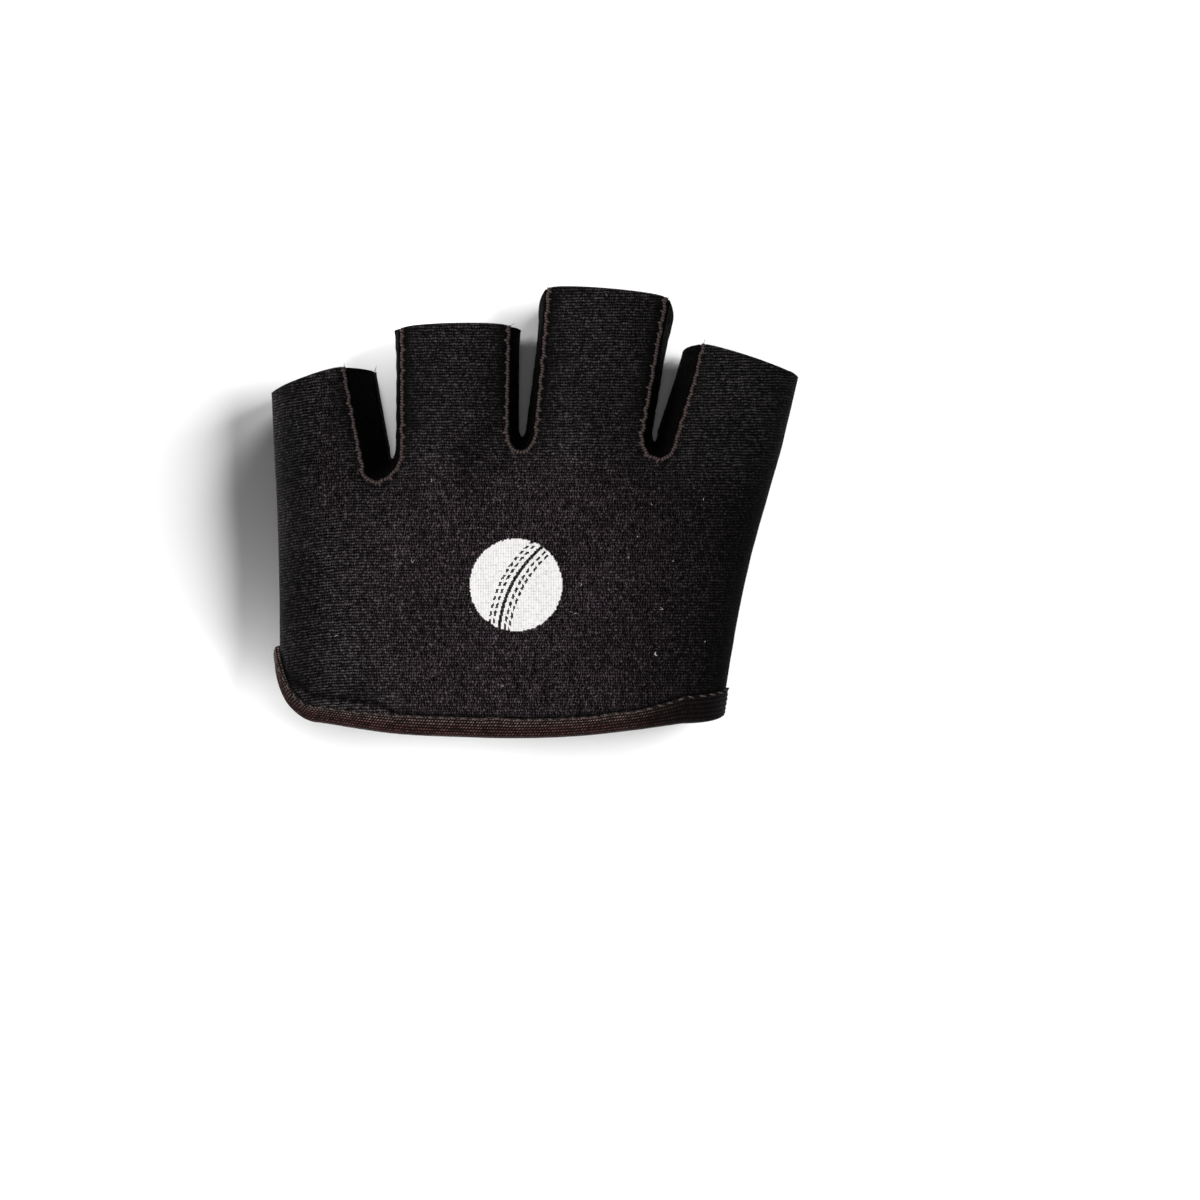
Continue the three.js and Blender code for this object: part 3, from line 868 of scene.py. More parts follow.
BACK_PATTERN = Pattern(
    Side.BACK,
    (
        Stall((None, 9), (-34.3, 9.6), (None, 24.2), (-38, 29), 0.6),
        Stall((-26.7, 11.6), (-5.4, 16.4), (-26.8, 36.8), (-5, 37.2), 0.7),
        Stall((0.1, 16.4), (21.5, 15.2), (2.6, 44.8), (26.4, 42.8), 0.8),
        Stall((28.1, 14.6), (None, 14.6), (33.4, 33.6), (None, 27.4), 0.5),
    ),
    np.array([(-30.9, 6.4), (-2.8, 12.2), (24.7, 10.8)]),
    np.array([
        (-43.2, -40.8), (-28, -43), (-13.5, -43.7), (-2.5, -43.9), (8.5, -43.5), (19.5, -42.4), (30, -41),
    ]),
    ((0.6, 1.0), (1.0, 1.0), (1.0, 0.35)),
)
PALM_PATTERN = Pattern(
    Side.PALM,
    (
        Stall((None, 9), (-29.7, 13), (None, 24), (-32.5, 28.3), 0.4),
        Stall((-27.7, 13.4), (-3.8, 17.6), (-27.1, 36.4), (-3.8, 36.6), 0.4),
        Stall((-1.5, 17.6), (23.1, 16.6), (1.6, 38.6), (26.4, 36.8), 6.2),
        Stall((25, 16.8), (None, 15), (29.9, 32), (None, 26.8), 0.4),
    ),
    np.array([(-28.8, 10.8), (-2.7, 15.2), (24, 14.2)]),
    np.array([
        (-43.2, -36.6), (-28, -38.9), (-13.5, -39.6), (-2.5, -39.9), (8.5, -40.3), (19.5, -40.4), (30, -40.3),
    ]),
    ((0.5, 0.5), (0.5, 0.5), (0.5, 0.5)),
)


def table(*rows: tuple) -> Array:
    """A dataclass field that holds a table of (position, value)."""
    return field(default_factory=lambda: np.array(rows))


@dataclass(frozen=True)
class HandForm:
    """The body of the lying glove in millimetres: its side seams, its heights and how its sides roll over.

    The three numbers of a height are those at the wrist, at the fingers' roots and at their tips.
    """

    palm_z: float = 2.1
    fold_z: float = 9.0
    fold_radius: float = 8.0
    seam_gap: float = 0.3
    wall: float = 2.0
    wrist_at_little_side: float = -29.5
    wrist_at_index_side: float = -39.6
    wrist_sweep: float = 1.05
    curve_fade: float = 26.0
    finger_form_starts: float = 0.55
    shoulder: tuple = (14.6, 15.4, 13.9)
    crown: tuple = (16.2, 17.0, 15.2)
    gap_seam: tuple = (14.0, 14.0, 12.6)
    finger_rise: tuple = (2.3, 2.3, 2.0)
    knit_climb: float = 0.006
    knit_climbs_from: float = -34.0
    little_side: Array = table((-29, -51.1), (-15, -51.2), (0, -51.6), (14, -52.3), (25, -52.8))
    index_side: Array = table((-39, 37.5), (-22, 40.3), (-8, 43.3), (3, 46.4), (15, 49.7), (28, 52.8))
    tape_widths: Array = table(
        (-51.3, 2.8), (-50.5, 3.3), (-47.2, 2.5), (-44.4, 2.2), (-40, 2.3), (-35, 2.4), (-31, 2.5),
        (-26, 2.9), (-8, 2.9), (13, 2.8), (20.5, 3.0), (26, 3.7), (30, 4.5), (37.6, 4.8),
    )

    def side_edge(self, side: int, y: Array) -> Array:
        """The side seam's place in plan: the little finger's (side -1) or the index finger's (side 1)."""
        return smooth_table(self.little_side if side < 0 else self.index_side, y)

    def seam_x(self, side: Array, y: Array, inward: Array) -> Array:
        """Places at a distance in from one seam or the other."""
        little, index = self.side_edge(-1, y) + inward, self.side_edge(1, y) - inward
        return np.where(np.asarray(side) < 0, little, index)

    def palm_height(self, x: Array, y: Array) -> Array:
        """Height of the palm's outer face: flat, turning up to each side seam in a quarter ellipse."""

        def turned(distance: Array) -> Array:
            """1 on the flat, and the height of a quarter circle towards the seam."""
            return np.sqrt(1 - (1 - np.clip(distance / self.fold_radius, 0, 1)) ** 2)

        left, right = turned(x - self.side_edge(-1, y)), turned(self.side_edge(1, y) - x)
        return self.fold_z - (self.fold_z - self.palm_z) * left * right

    def palm_out(self, x: Array, y: Array) -> Array:
        """Way out of the palm's outer face, from its slopes."""
        step = 0.05
        slope_x = (self.palm_height(x + step, y) - self.palm_height(x - step, y)) / (2 * step)
        slope_y = (self.palm_height(x, y + step) - self.palm_height(x, y - step)) / (2 * step)
        return unit(np.stack([slope_x, slope_y, -np.ones_like(slope_x)], axis=-1))


@dataclass(frozen=True)
class Fineness:
    """Steps of the panels' grid in each region."""

    fold: int = 20
    outer_finger: int = 20
    inner_finger: int = 38
    gap: int = 22
    palm: int = 124
    stall: int = 52


class HandLines:
    """The lines of one panel that run from the wrist to the fingertips, as arrays with one entry for each."""

    def __init__(self, form: HandForm, pattern: Pattern, steps: Fineness) -> None:
        """Lay out the lines from the little finger's side seam to the index finger's.

        Args:
            form: the glove's form.
            pattern: the panel's cut.
            steps: the grid's steps.
        """
        self.form = form
        self.pattern = pattern
        stall, side, turn, across, around = [], [], [], [], []
        last = len(pattern.stalls) - 1
        rolled = np.linspace(0, QUARTER_TURN, steps.fold + 1)[:-1]
        for number in range(last + 1):
            outer = -1 if number == 0 else 1 if number == last else 0
            flat = np.linspace(0, 1, (steps.outer_finger if outer else steps.inner_finger) + 1)
            turns = [rolled] * (outer < 0) + [np.full(len(flat), QUARTER_TURN)] + [rolled[::-1]] * (outer > 0)
            places = [0 * rolled] * (outer < 0) + [flat] + [0 * rolled + 1] * (outer > 0)
            gaps = [np.linspace(0, np.pi, steps.gap + 1)[1:-1]] * (number < last)
            turn.append(np.concatenate(turns))
            across.append(np.concatenate(places))
            stall.append(np.full(len(turn[-1]), number))
            side.append(np.full(len(turn[-1]), outer))
            around.append(np.zeros(len(turn[-1])))
            for angles in gaps:
                turn.append(np.full(len(angles), QUARTER_TURN))
                across.append(0 * angles)
                stall.append(np.full(len(angles), -1 - number))
                side.append(np.zeros(len(angles), int))
                around.append(angles)
        self.stall, self.side, self.turn, self.across, self.around = (
            np.concatenate(parts) for parts in (stall, side, turn, across, around)
        )
        self.inward = form.fold_radius * (1 - np.cos(self.turn))
        self.rolled = self.turn < QUARTER_TURN - 1e-9
        self.notch = np.zeros((len(self.stall), 2))
        self.root, self.tip = self._ends()
        self.wrist = self._wrist()

    def _ends(self) -> tuple[Array, Array]:
        """Where each line passes the roots of the fingers, and where it ends at a stall's opening.

        A gap's end is half an ellipse from one stall's corner through the gap's deepest point to the next.

        Returns:
            The places at the roots and at the tips, (lines, 2) each.
        """
        root, tip = np.zeros((len(self.stall), 2)), np.zeros((len(self.stall), 2))
        for number, cut in enumerate(self.pattern.stalls):
            own = self.stall == number
            root[own] = self._between(cut.root_left, cut.root_right, 0.0, own)
            tip[own] = self._between(cut.tip_left, cut.tip_right, cut.bow, own)
        for gap, deepest in enumerate(self.pattern.gap_ends):
            own = self.stall == -1 - gap
            start = np.array(self.pattern.stalls[gap].root_right, float)
            end = np.array(self.pattern.stalls[gap + 1].root_left, float)
            middle = (start + end) / 2
            angle = self.around[own][:, None]
            root[own] = middle + (start - middle) * np.cos(angle) + (deepest - middle) * np.sin(angle)
            self.notch[own] = (deepest - middle) * np.sin(angle)
            tip[own] = root[own]
        return root, tip

    def _between(self, left: tuple, right: tuple, bow: float, own: Array) -> Array:
        """Points of a line from corner to corner that rises by bow, as a half ellipse, between them.

        Args:
            left: the corner at the little finger's side.
            right: the other corner.
            bow: the rise in the middle.
            own: which lines are meant.

        Returns:
            Places in plan.
        """
        form = self.form
        side, inward = self.side[own], self.inward[own]
        left_x, right_x = (
            float(form.side_edge(seam, np.array(y))) if x is None else x
            for seam, (x, y) in ((-1, left), (1, right))
        )
        width = right_x - left_x
        flat_from = np.where(side < 0, form.fold_radius, 0)
        flat_to = np.where(side > 0, width - form.fold_radius, width)
        on_fold = np.where(side < 0, inward, width - inward)
        on_flat = flat_from + (flat_to - flat_from) * self.across[own]
        from_left = np.where(self.rolled[own], on_fold, on_flat)
        share = from_left / width
        y = left[1] + (right[1] - left[1]) * share + bow * np.sqrt(np.clip(1 - (2 * share - 1) ** 2, 0, 1))
        x = np.where(self.rolled[own], form.seam_x(side, y, inward), left_x + from_left)
        return np.stack([x, y], axis=1)

    def _wrist(self) -> Array:
        """Where each line starts at the wrist edge; beside a seam the edge climbs as a power of a sine.

        Returns:
            Places in plan, (lines, 2).
        """
        form, edge = self.form, self.pattern.wrist
        flat = ~self.rolled
        first, last = self.root[flat][0, 0], self.root[flat][-1, 0]
        x = edge[0, 0] + (edge[-1, 0] - edge[0, 0]) * (self.root[:, 0] - first) / (last - first)
        on_flat = np.stack([x, smooth_table(edge, x)], axis=1)
        seam = np.where(self.side < 0, form.wrist_at_little_side, form.wrist_at_index_side)
        corner = np.where(self.side < 0, edge[0, 1], edge[-1, 1])
        y = seam + (corner - seam) * np.sin(self.turn) ** form.wrist_sweep
        on_fold = np.stack([form.seam_x(self.side, y, self.inward), y], axis=1)
        return np.where(self.rolled[:, None], on_fold, on_flat)

    def points(self, along: Array) -> Array:
        """Points of the panel's outer face.

        Args:
            along: places along the lines, (rows, lines) or (rows, 1). They are 0 at the wrist, 1 at the
                roots and 2 at the tips.

        Returns:
            Positions, (rows, lines, 3).
        """
        form = self.form
        along = np.broadcast_to(along, (len(along), len(self.stall)))
        palm, stall = np.clip(along, 0, 1)[..., None], np.clip(along - 1, 0, 1)[..., None]
        straight = self.root - self.notch
        plan = self.wrist + (straight - self.wrist) * palm + self.notch * palm**7
        plan = plan + (self.tip - self.root) * stall
        x, y = plan[..., 0] + self._beside_curve(plan), plan[..., 1]
        x = np.where(self.rolled, form.seam_x(self.side, y, self.inward), x)
        seam = np.where(self.turn == 0, form.seam_gap / 2, 0)
        if self.pattern.side is Side.PALM:
            return np.stack([x, y, form.palm_height(x, y) - seam], axis=-1)
        return np.stack([x, y, self._back_height(along) + seam], axis=-1)

    def _beside_curve(self, plan: Array) -> Array:
        """How far flat parts shift so that they meet the curved sides, fading over some way into the hand.

        Args:
            plan: places in plan, (rows, lines, 2).

        Returns:
            The shift along X of each.
        """
        shift = np.zeros(plan.shape[:-1])
        flat = np.flatnonzero(~self.rolled)
        for line, side in ((flat[0], -1), (flat[-1], 1)):
            chord = np.stack([self.wrist[line], self.root[line], self.tip[line]])
            straight = np.interp(plan[..., 1], chord[:, 1], chord[:, 0])
            curved = self.form.seam_x(side, plan[..., 1], self.form.fold_radius)
            fade = 1 - ramp(np.abs(plan[..., 0] - straight), 0, self.form.curve_fade)
            shift += (curved - straight) * fade
        return shift

    def _back_height(self, along: Array) -> Array:
        """Height of the back: a flat parabola across the hand that becomes one parabola over each finger.

        Args:
            along: places along the lines, (rows, lines).

        Returns:
            The heights.
        """
        form = self.form
        palm, stall = np.clip(along, 0, 1), np.clip(along - 1, 0, 1)

        def level(values: tuple) -> Array:
            """A height that goes from its value at the wrist to that at the roots and at the tips."""
            wrist, root, tip = values
            here = wrist + (root - wrist) * palm
            return here + (tip - here) * stall

        y = self.root[:, 1]
        half = (form.side_edge(1, y) - form.side_edge(-1, y)) / 2 - form.fold_radius
        middle = np.clip(self.root[:, 0] / half, -1, 1)
        hand = level(form.crown) + (level(form.shoulder) - level(form.crown)) * middle**2
        outer = np.where(self.side < 0, self.across, 1 - self.across)
        off = np.where(self.side == 0, 2 * self.across - 1, outer)
        soft, arched = 0.5 + 0.5 * np.cos(np.pi * off), 1 - off**2
        rise = np.where(self.stall < 0, 0, soft + (arched - soft) * ramp(along, 1, 1.5))
        finger = level(form.gap_seam) + level(form.finger_rise) * rise
        top = hand + (finger - hand) * ramp(along, form.finger_form_starts, 1)
        return form.fold_z + (top - form.fold_z) * np.sin(self.turn)

    def cloth(self, points: Array) -> Array:
        """Flat cloth coordinates of points on the lines: the rolled strip beside a seam is laid out flat.

        The bars of the knit climb towards the hand's middle on the little finger's side, by a parabola.
        """
        form = self.form
        roll = (QUARTER_TURN - self.turn) * (form.fold_radius + form.fold_z - form.palm_z) / 2
        start = form.seam_x(self.side, points[..., 1], np.full(len(self.turn), form.fold_radius))
        x = np.where(self.rolled, start + self.side * roll, points[..., 0])
        climb = form.knit_climb * np.maximum(form.knit_climbs_from - points[..., 0], 0) ** 2
        return np.stack([x, points[..., 1] + climb], axis=-1)


class Panel:
    """A cloth panel as a fine grid: its two faces and the edges that the other pieces follow.

    Its rows crowd towards the wrist. Where the flat part's edge turns down too steeply, the way out is
    set upright.
    """

    crowding: float = 0.55
    steep: float = 0.5
    gap_reach: float = 6.0
    hem_rows: float = 0.3

    def __init__(self, form: HandForm, pattern: Pattern, steps: Fineness) -> None:
        """Lay out the grid and its smooth outer face.

        Args:
            form: the glove's form.
            pattern: the panel's cut.
            steps: the grid's steps.
        """
        self.form, self.pattern, self.steps = form, pattern, steps
        self.lines = HandLines(form, pattern, steps)
        rows = steps.palm + steps.stall + 1
        width = len(self.lines.stall)
        palm = np.linspace(0, 1, steps.palm + 1)
        palm -= self.crowding * palm * (1 - palm) ** 3
        self.along = np.concatenate([palm, np.linspace(1, 2, steps.stall + 1)[1:]])
        grid = self.lines.points(self.along[:, None])
        used = (np.arange(rows)[:, None] <= steps.palm) | (self.lines.stall >= 0)[None]
        self.number = np.where(used, np.cumsum(used).reshape(used.shape) - 1, -1)
        self.row, self.column = np.nonzero(used)
        self.smooth = grid[used]
        self.cloth = self.lines.cloth(grid)[used]
        self.quads = self._quads(rows, width)
        self.normals = vertex_normals(self.smooth, self.quads)
        seam = self.lines.turn[self.column] == 0
        self.normals[seam] = self.lines.side[self.column][seam, None] * np.array([1.0, 0.0, 0.0])
        face = pattern.side.value
        steep = ~self.lines.rolled[self.column] & (self.normals[:, 2] * face < self.steep)
        self.normals[steep] = (0, 0, face)
        self.gap_edges = [self._gap_edge(gap) for gap in range(len(pattern.gap_ends))]

    def _quads(self, rows: int, width: int) -> Array:
        """Faces between neighbouring lines, without those that would bridge a gap."""
        row, column = np.indices((rows - 1, width - 1)).reshape(2, -1)
        stall = self.lines.stall
        whole = (row < self.steps.palm) | ((stall[column] >= 0) & (stall[column] == stall[column + 1]))
        corners = np.array([(0, 0), (0, 1), (1, 1), (1, 0)])
        quads = self.number[row[whole, None] + corners[:, 0], column[whole, None] + corners[:, 1]]
        return quads if self.pattern.side is Side.BACK else quads[:, ::-1]

    def _gap_edge(self, gap: int) -> Array:
        """Vertex numbers round one finger gap: down one stall's side, round the end and up the next's."""
        stall = self.lines.stall
        before, after = np.flatnonzero(stall == gap)[-1], np.flatnonzero(stall == gap + 1)[0]
        n, end = self.number, self.steps.palm
        return np.concatenate([n[end:, before][::-1], n[end, before + 1 : after], n[end:, after]])

    @property
    def flat_area(self) -> float:
        """Area of the cut cloth in square metres, from its flat cloth coordinates."""
        a, b, c, d = (self.cloth[self.quads[:, k]] for k in range(4))
        first, second = c - a, d - b
        return float(np.abs(first[:, 0] * second[:, 1] - first[:, 1] * second[:, 0]).sum() / 2) * MM * MM

    @property
    def flat_size(self) -> tuple[float, float]:
        """Width and length of the cut cloth in metres."""
        width, length = np.ptp(self.cloth, axis=0) * MM
        return float(width), float(length)

    def shell(self, relief: Array, inner_relief: Array, rim: float, marks: dict[str, Array]) -> Surface:
        """The panel as a closed body with rounded cut edges.

        Outer points are the smooth face plus relief along its normals, and inner ones lie a wall further in.
        The edge is a row of faces from one to the other that bulges by rim times the sine of its share.

        Args:
            relief: how far each outer vertex stands out.
            inner_relief: how far the inner vertex behind it moves the same way.
            rim: how far the cut edge bulges.
            marks: numbers for the finish, one for each outer vertex.

        Returns:
            The body: finish 0 outside, 1 inside and 2 on the cut edge.
        """
        outside = self.smooth + self.normals * relief[:, None]
        inside = self.smooth + self.normals * (inner_relief - self.form.wall)[:, None]
        count, rings = len(outside), 4
        border = border_edges(self.quads, count)
        away = np.zeros_like(outside)
        way = unit(outside[border[:, 1]] - outside[border[:, 0]])
        out = np.cross(way, self.normals[border[:, 0]])
        np.add.at(away, border[:, 0], out)
        np.add.at(away, border[:, 1], out)
        rim_vertices = np.unique(border)
        spot = np.full(count, -1)
        spot[rim_vertices] = np.arange(len(rim_vertices))
        share = np.arange(1, rings) / rings
        between = outside[rim_vertices] + (inside - outside)[rim_vertices] * share[:, None, None]
        between = between + unit(away[rim_vertices]) * (rim * np.sin(np.pi * share))[:, None, None]
        body = Surface(np.concatenate([outside, inside, between.reshape(-1, 3)]))
        body.add_faces(self.quads, 0)
        body.add_faces(self.quads[:, ::-1] + count, 1)
        start, end = border[:, 0], border[:, 1]
        levels = [(start, end)]
        for ring in range(rings - 1):
            shift = 2 * count + ring * len(rim_vertices)
            levels.append((spot[start] + shift, spot[end] + shift))
        levels.append((start + count, end + count))
        for (near_start, near_end), (far_start, far_end) in zip(levels, levels[1:]):
            body.add_faces(np.stack([near_end, near_start, far_start, far_end], axis=1), 2)
        rim_copy = np.tile(rim_vertices, rings - 1)
        body.cloth = np.concatenate([self.cloth, self.cloth, self.cloth[rim_copy]])
        body.marks = {
            name: np.concatenate([values, 0 * values, 0 * values[rim_copy]]) for name, values in marks.items()
        }
        return body

    def gap_relief(self, depth: float, reach: float, pitch: float) -> tuple[Array, Array]:
        """Relief that the gap seams pull into the cloth, and a mark for painted shade in it.

        Beside each gap the cloth dips in a bell curve of the distance from the seam, deeper at each
        pulled stitch, and it is level again at the seam itself.

        Args:
            depth: depth of the dip.
            reach: distance from the edge to the middle of the dip.
            pitch: distance between pulled stitches.

        Returns:
            The relief, and a mark from 0 to 1 for painted shade in the dips and where the cloth turns down
            into a seam.
        """
        relief, sunk = np.zeros(len(self.smooth)), np.zeros(len(self.smooth))
        for gap, edge in enumerate(self.gap_edges):
            path = self.smooth[edge]
            apart = np.abs(self.smooth[:, None, :2] - path[None, ::6, :2]).max(axis=2).min(axis=1)
            near = np.flatnonzero(apart < self.gap_reach)
            distance, along = nearest_on_path(self.smooth[near], path[::2])
            pulled = beat(along, pitch)
            dip = bell(distance, reach, 0.6 * reach) * ramp(distance, 0.1, 0.5)
            relief[near] -= depth * dip * (0.35 + 0.65 * pulled)
            stall, (before, after) = self.lines.stall[self.column[near]], self.pattern.seam_shade[gap]
            beside = np.where(stall == gap, before, np.where(stall == gap + 1, after, 0.5))
            up = ramp(self.along[self.row[near]], 0.9, 1.3)
            # painted shade where the knit turns down into the seam, weighed by the pattern's seam_shade
            slope = np.minimum(1.3 * beside * (0.35 + 0.65 * up) * np.exp(-((distance / 2.8) ** 1.3)), 1)
            sunk[near] = np.maximum(sunk[near], np.maximum(dip * pulled**2, slope))
        return relief, sunk

    def tape_top(self) -> Array:
        """Where the wrist tape's upper edge crosses each line, as a place along it."""
        length = np.linalg.norm(self.lines.root - self.lines.wrist, axis=1)
        return smooth_table(self.form.tape_widths, self.smooth[self.number[0]][:, 0]) / length

    def hem_relief(self, groove: float = 0.35, puff: float = 0.5, pitch: float = 2.15) -> tuple[Array, ...]:
        """Relief that the tape's stitches pull into the cloth above it, a mark for painted shade in its dip
        and one for painted highlight on its puffs.

        The cloth dips in a bell curve of the distance from the tape. On the little finger's side the tape
        draws the cloth in: the dip lies further up there, and puffs between the stitches lie below it.

        Args:
            groove: depth of the dip.
            puff: height of the puffs.
            pitch: distance between stitches.

        Returns:
            The relief, a mark for painted shade where the cloth is sunk, and a mark for painted highlight
            where it puffs.
        """
        relief, sunk, puffed = (np.zeros(len(self.smooth)) for _ in range(3))
        low = np.flatnonzero(self.along[self.row] < self.hem_rows)
        top = self.path_at(self.tape_top()).points
        distance, along = nearest_on_path(self.smooth[low], top)
        pull = beat(along, pitch, 1.6 * ripple(along[:, None], 9, seed=86))
        x = self.smooth[low, 0]
        drawn = ramp(x, -50, -46) * (1 - ramp(x, -33, -26))
        middle = 0.2 + drawn * (1.9 + 0.3 * ripple(along[:, None], 3, seed=87))
        dip = bell(distance, middle, 0.4 + 0.2 * drawn)
        hump = drawn * bell(distance, 0.5 * middle, 0.42 * middle) * (1 - 0.75 * pull)
        relief[low] = puff * hump - groove * dip * (0.7 + 0.3 * drawn)
        # painted shade in the dip and in a valley above it
        valley = 0.5 * np.exp(-np.abs(distance - middle) / 1.6) * (distance > middle)
        sunk[low] = np.maximum(1.15 * dip * (0.65 + 0.35 * pull), valley * (0.35 + 0.65 * drawn))
        # painted highlight on the puffs
        puffed[low] = 1.3 * hump
        return relief, sunk, puffed

    def path_at(self, along: Array, lift: float = 0.0) -> SurfacePath:
        """A path across the panel at one place on each line.

        Args:
            along: the place on each line, 0 at the wrist and 1 at the roots.
            lift: how far it stands out of the smooth face.

        Returns:
            The path, from the little finger's side to the index finger's.
        """
        points = self.lines.points(along[None, :])[0]
        ahead = self.lines.points(along[None, :] + 0.01)[0]
        across = np.gradient(points, axis=0)
        out = unit(np.cross(across, ahead - points)) * (1 if self.pattern.side is Side.BACK else -1)
        out[self.lines.turn == 0] = self.lines.side[self.lines.turn == 0, None] * np.array([1.0, 0.0, 0.0])
        return SurfacePath(points + out * lift, out)


# Pieces


def place(piece: Thing, slot: str, *nodes: str) -> Thing:
    """Ride a piece on the glove and hide the solids that it stands for."""
    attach(piece, "root")
    if nodes:
        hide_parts(*nodes)
    return piece


@dataclass
class BackSkin:
    """The knit back with its four open stalls, replacing the plain panel."""

    panel: Panel
    wardrobe: Wardrobe
    sway: float = 0.22
    grain: float = 0.06
    pucker: float = 0.4
    pucker_reach: float = 0.95
    pull_pitch: float = 2.2
    rim: float = 0.35
    # painted light and shade: lit lightens faces that look up, the dims darken the index finger's side, the
    # stalls and a band by the little finger's fold; patches is random tone
    lit: float = 0.25
    patches: float = 0.2
    right_dim: float = 1.75
    right_tip_dim: float = 1.0
    fingers_dim: float = 0.5
    band_dim: float = 1.25
    sunk_share: float = 0.92
    rub_range: tuple = (-1.65, 1.2)
    most_rows: float = 0.9

    def relief(self) -> tuple[Array, Array, Array]:
        """Relief of the outer face, the mark for painted shade where it is sunk, and the mark for painted
        light and shade with random tone.

        Returns:
            The relief, the painted shade mark and the painted light and tone mark.
        """
        panel = self.panel
        plan = panel.smooth
        dip, sunk = panel.gap_relief(self.pucker, self.pucker_reach, self.pull_pitch)
        hem, drawn, puffed = panel.hem_relief()
        dip, sunk = dip + hem, np.maximum(sunk, drawn)
        sway = self.sway * ripple(plan, 30, seed=11) + self.grain * ripple(plan, 7, seed=12)
        edge = nearest_on_path(plan, np.concatenate([panel.smooth[e][::3] for e in panel.gap_edges]))[0]
        sway *= ramp(edge, 0, 4) * ramp(panel.lines.turn[panel.column], 0.0, 0.5)
        # Painted light and shade: faces that look up are lighter, the index finger's side, the stalls and a
        # band along the little finger's fold are darker, the puffs above the tape lighter; the patches are
        # random tone.
        up = np.clip(panel.normals[:, 2], 0, 1) ** 4
        right, tip = ramp(plan[:, 0], 2, 44), ramp(plan[:, 1], -4, 22)
        fingers = tip * (1 - right) * ramp(plan[:, 0], -46, -26)
        inward = plan[:, 0] - panel.form.side_edge(-1, plan[:, 1])
        band = bell(inward, 4.0, 5.5) * ramp(inward, -0.5, 1.5)
        light = self.lit * up + self.patches * ripple(plan, 18, seed=13)
        light_and_tone = light - (self.right_dim - (self.right_dim - self.right_tip_dim) * tip) * right
        light_and_tone = light_and_tone - self.fingers_dim * fingers - self.band_dim * band
        return dip + sway, sunk * self.sunk_share, np.clip(light_and_tone + puffed, *self.rub_range)

    def build(self) -> Thing:
        """Returns:
            The new piece.
        """
        relief, sunk, light_and_tone = self.relief()
        plan = self.panel.smooth
        rows = 0.6 * ramp(plan[:, 1], 0, 18) + 0.7 * ramp(-plan[:, 0], 20, 44)
        columns = 0.9 * bell(plan[:, 0], -41, 4) * ramp(plan[:, 1], -4, 6)
        rows = np.clip(rows + 0.5 * ramp(plan[:, 0], 20, 40) - columns, 0, self.most_rows)
        body = self.panel.shell(relief, 0 * relief, self.rim, {"sunk": sunk, "light_and_tone": light_and_tone, "rows": rows})
        wardrobe_or_tape_shade = self.wardrobe
        piece = body.build("back_skin", [wardrobe_or_tape_shade.back, wardrobe_or_tape_shade.lining, wardrobe_or_tape_shade.foam])
        self.panel.flat_size
        return place(piece, "back_knit", "back_panel")

    def surface_z(self, plan: Array) -> tuple[Array, Array]:
        """Height and way out of the outer face at places in plan.

        The height is that of the nearest vertex plus the slope of its normal times the way to it.

        Args:
            plan: places, one row (x, y) each.

        Returns:
            The heights and the ways out.
        """
        panel = self.panel
        outer = panel.smooth + panel.normals * self.relief()[0][:, None]
        close = np.abs(outer[:, :2] - plan.mean(axis=0)).max(axis=1) < np.ptp(plan, axis=0).max()
        outer, normals = outer[close], panel.normals[close]
        nearest = np.concatenate([
            np.linalg.norm(part[:, None] - outer[None, :, :2], axis=2).argmin(axis=1)
            for part in np.array_split(plan, 20)
        ])
        normal = normals[nearest]
        step = plan - outer[nearest, :2]
        return outer[nearest, 2] - (normal[:, :2] * step).sum(axis=1) / normal[:, 2], normal


@dataclass(frozen=True)
class Pad:
    """One foam pad of the palm: its corners in plan, and the share of each side that its corners take.

    Corners beyond a side seam stand for a pad that runs on to that seam.
    """

    name: str
    round: float
    corners: tuple

    def outline(self, step: float = 0.6) -> Array:
        """Closed outline: straight sides joined by quadratic curves that turn at the corners.

        Args:
            step: distance between its points.

        Returns:
            The points, one row (x, y) each.
        """
        corner = np.array(self.corners, float)
        after, following = np.roll(corner, -1, axis=0), np.roll(corner, -2, axis=0)
        leave = corner + (after - corner) * (1 - self.round)
        arrive = after + (following - after) * self.round
        t = np.linspace(0, 1, 12)[:, None, None]
        curve = leave * (1 - t) ** 2 + after * 2 * t * (1 - t) + arrive * t**2
        points = curve.transpose(1, 0, 2).reshape(-1, 2)
        closed = np.concatenate([points, points[:1]])
        along = length_along(closed)
        at = np.linspace(0, along[-1], int(along[-1] / step) + 1)[:-1]
        return np.stack([np.interp(at, along, closed[:, k]) for k in range(2)], axis=1)


PADS = (
    Pad("pad_little_finger", 0.25, ((-58, 2.6), (-33.6, 5.2), (-35, 19.2), (-58, 16.6))),
    Pad("pad_ring_finger", 0.35, ((-24.4, 17.2), (-7.4, 18.2), (-7, 29.2), (-24.4, 29.4))),
    Pad("pad_middle_finger", 0.35, ((3.6, 19.2), (19.8, 17.6), (21, 30.6), (5.8, 32.6))),
    Pad("pad_index_finger", 0.25, ((34.6, 7.8), (55, 2), (58, 19.6), (37, 24.2))),
    Pad("pad_knuckles", 0.45, ((-29, -4.6), (17.8, -5.4), (20.6, 1), (13, 7.4), (-28, 8.4))),
    Pad("pad_outer_palm", 0.25, ((-58, -15.2), (-34, -10.4), (-33.6, 0.6), (-58, -0.8))),
    Pad("pad_heel", 0.25, ((-58, -32.6), (-32.8, -30.2), (-33.4, -17.3), (-58, -18.4))),
    Pad(
        "pad_lens", 0.5,
        ((-22, -26.6), (-6, -28.4), (20, -25.6), (22.4, -20.4), (6, -12.6), (-11, -8.4), (-23.8, -11.6)),
    ),
    Pad("pad_thumb_upper", 0.25, ((32.6, -13.2), (52, -19.5), (54, -2), (32.2, 3))),
    Pad("pad_thumb_lower", 0.25, ((30.2, -34.2), (48, -33.6), (50, -22.8), (29.9, -18.6))),
)


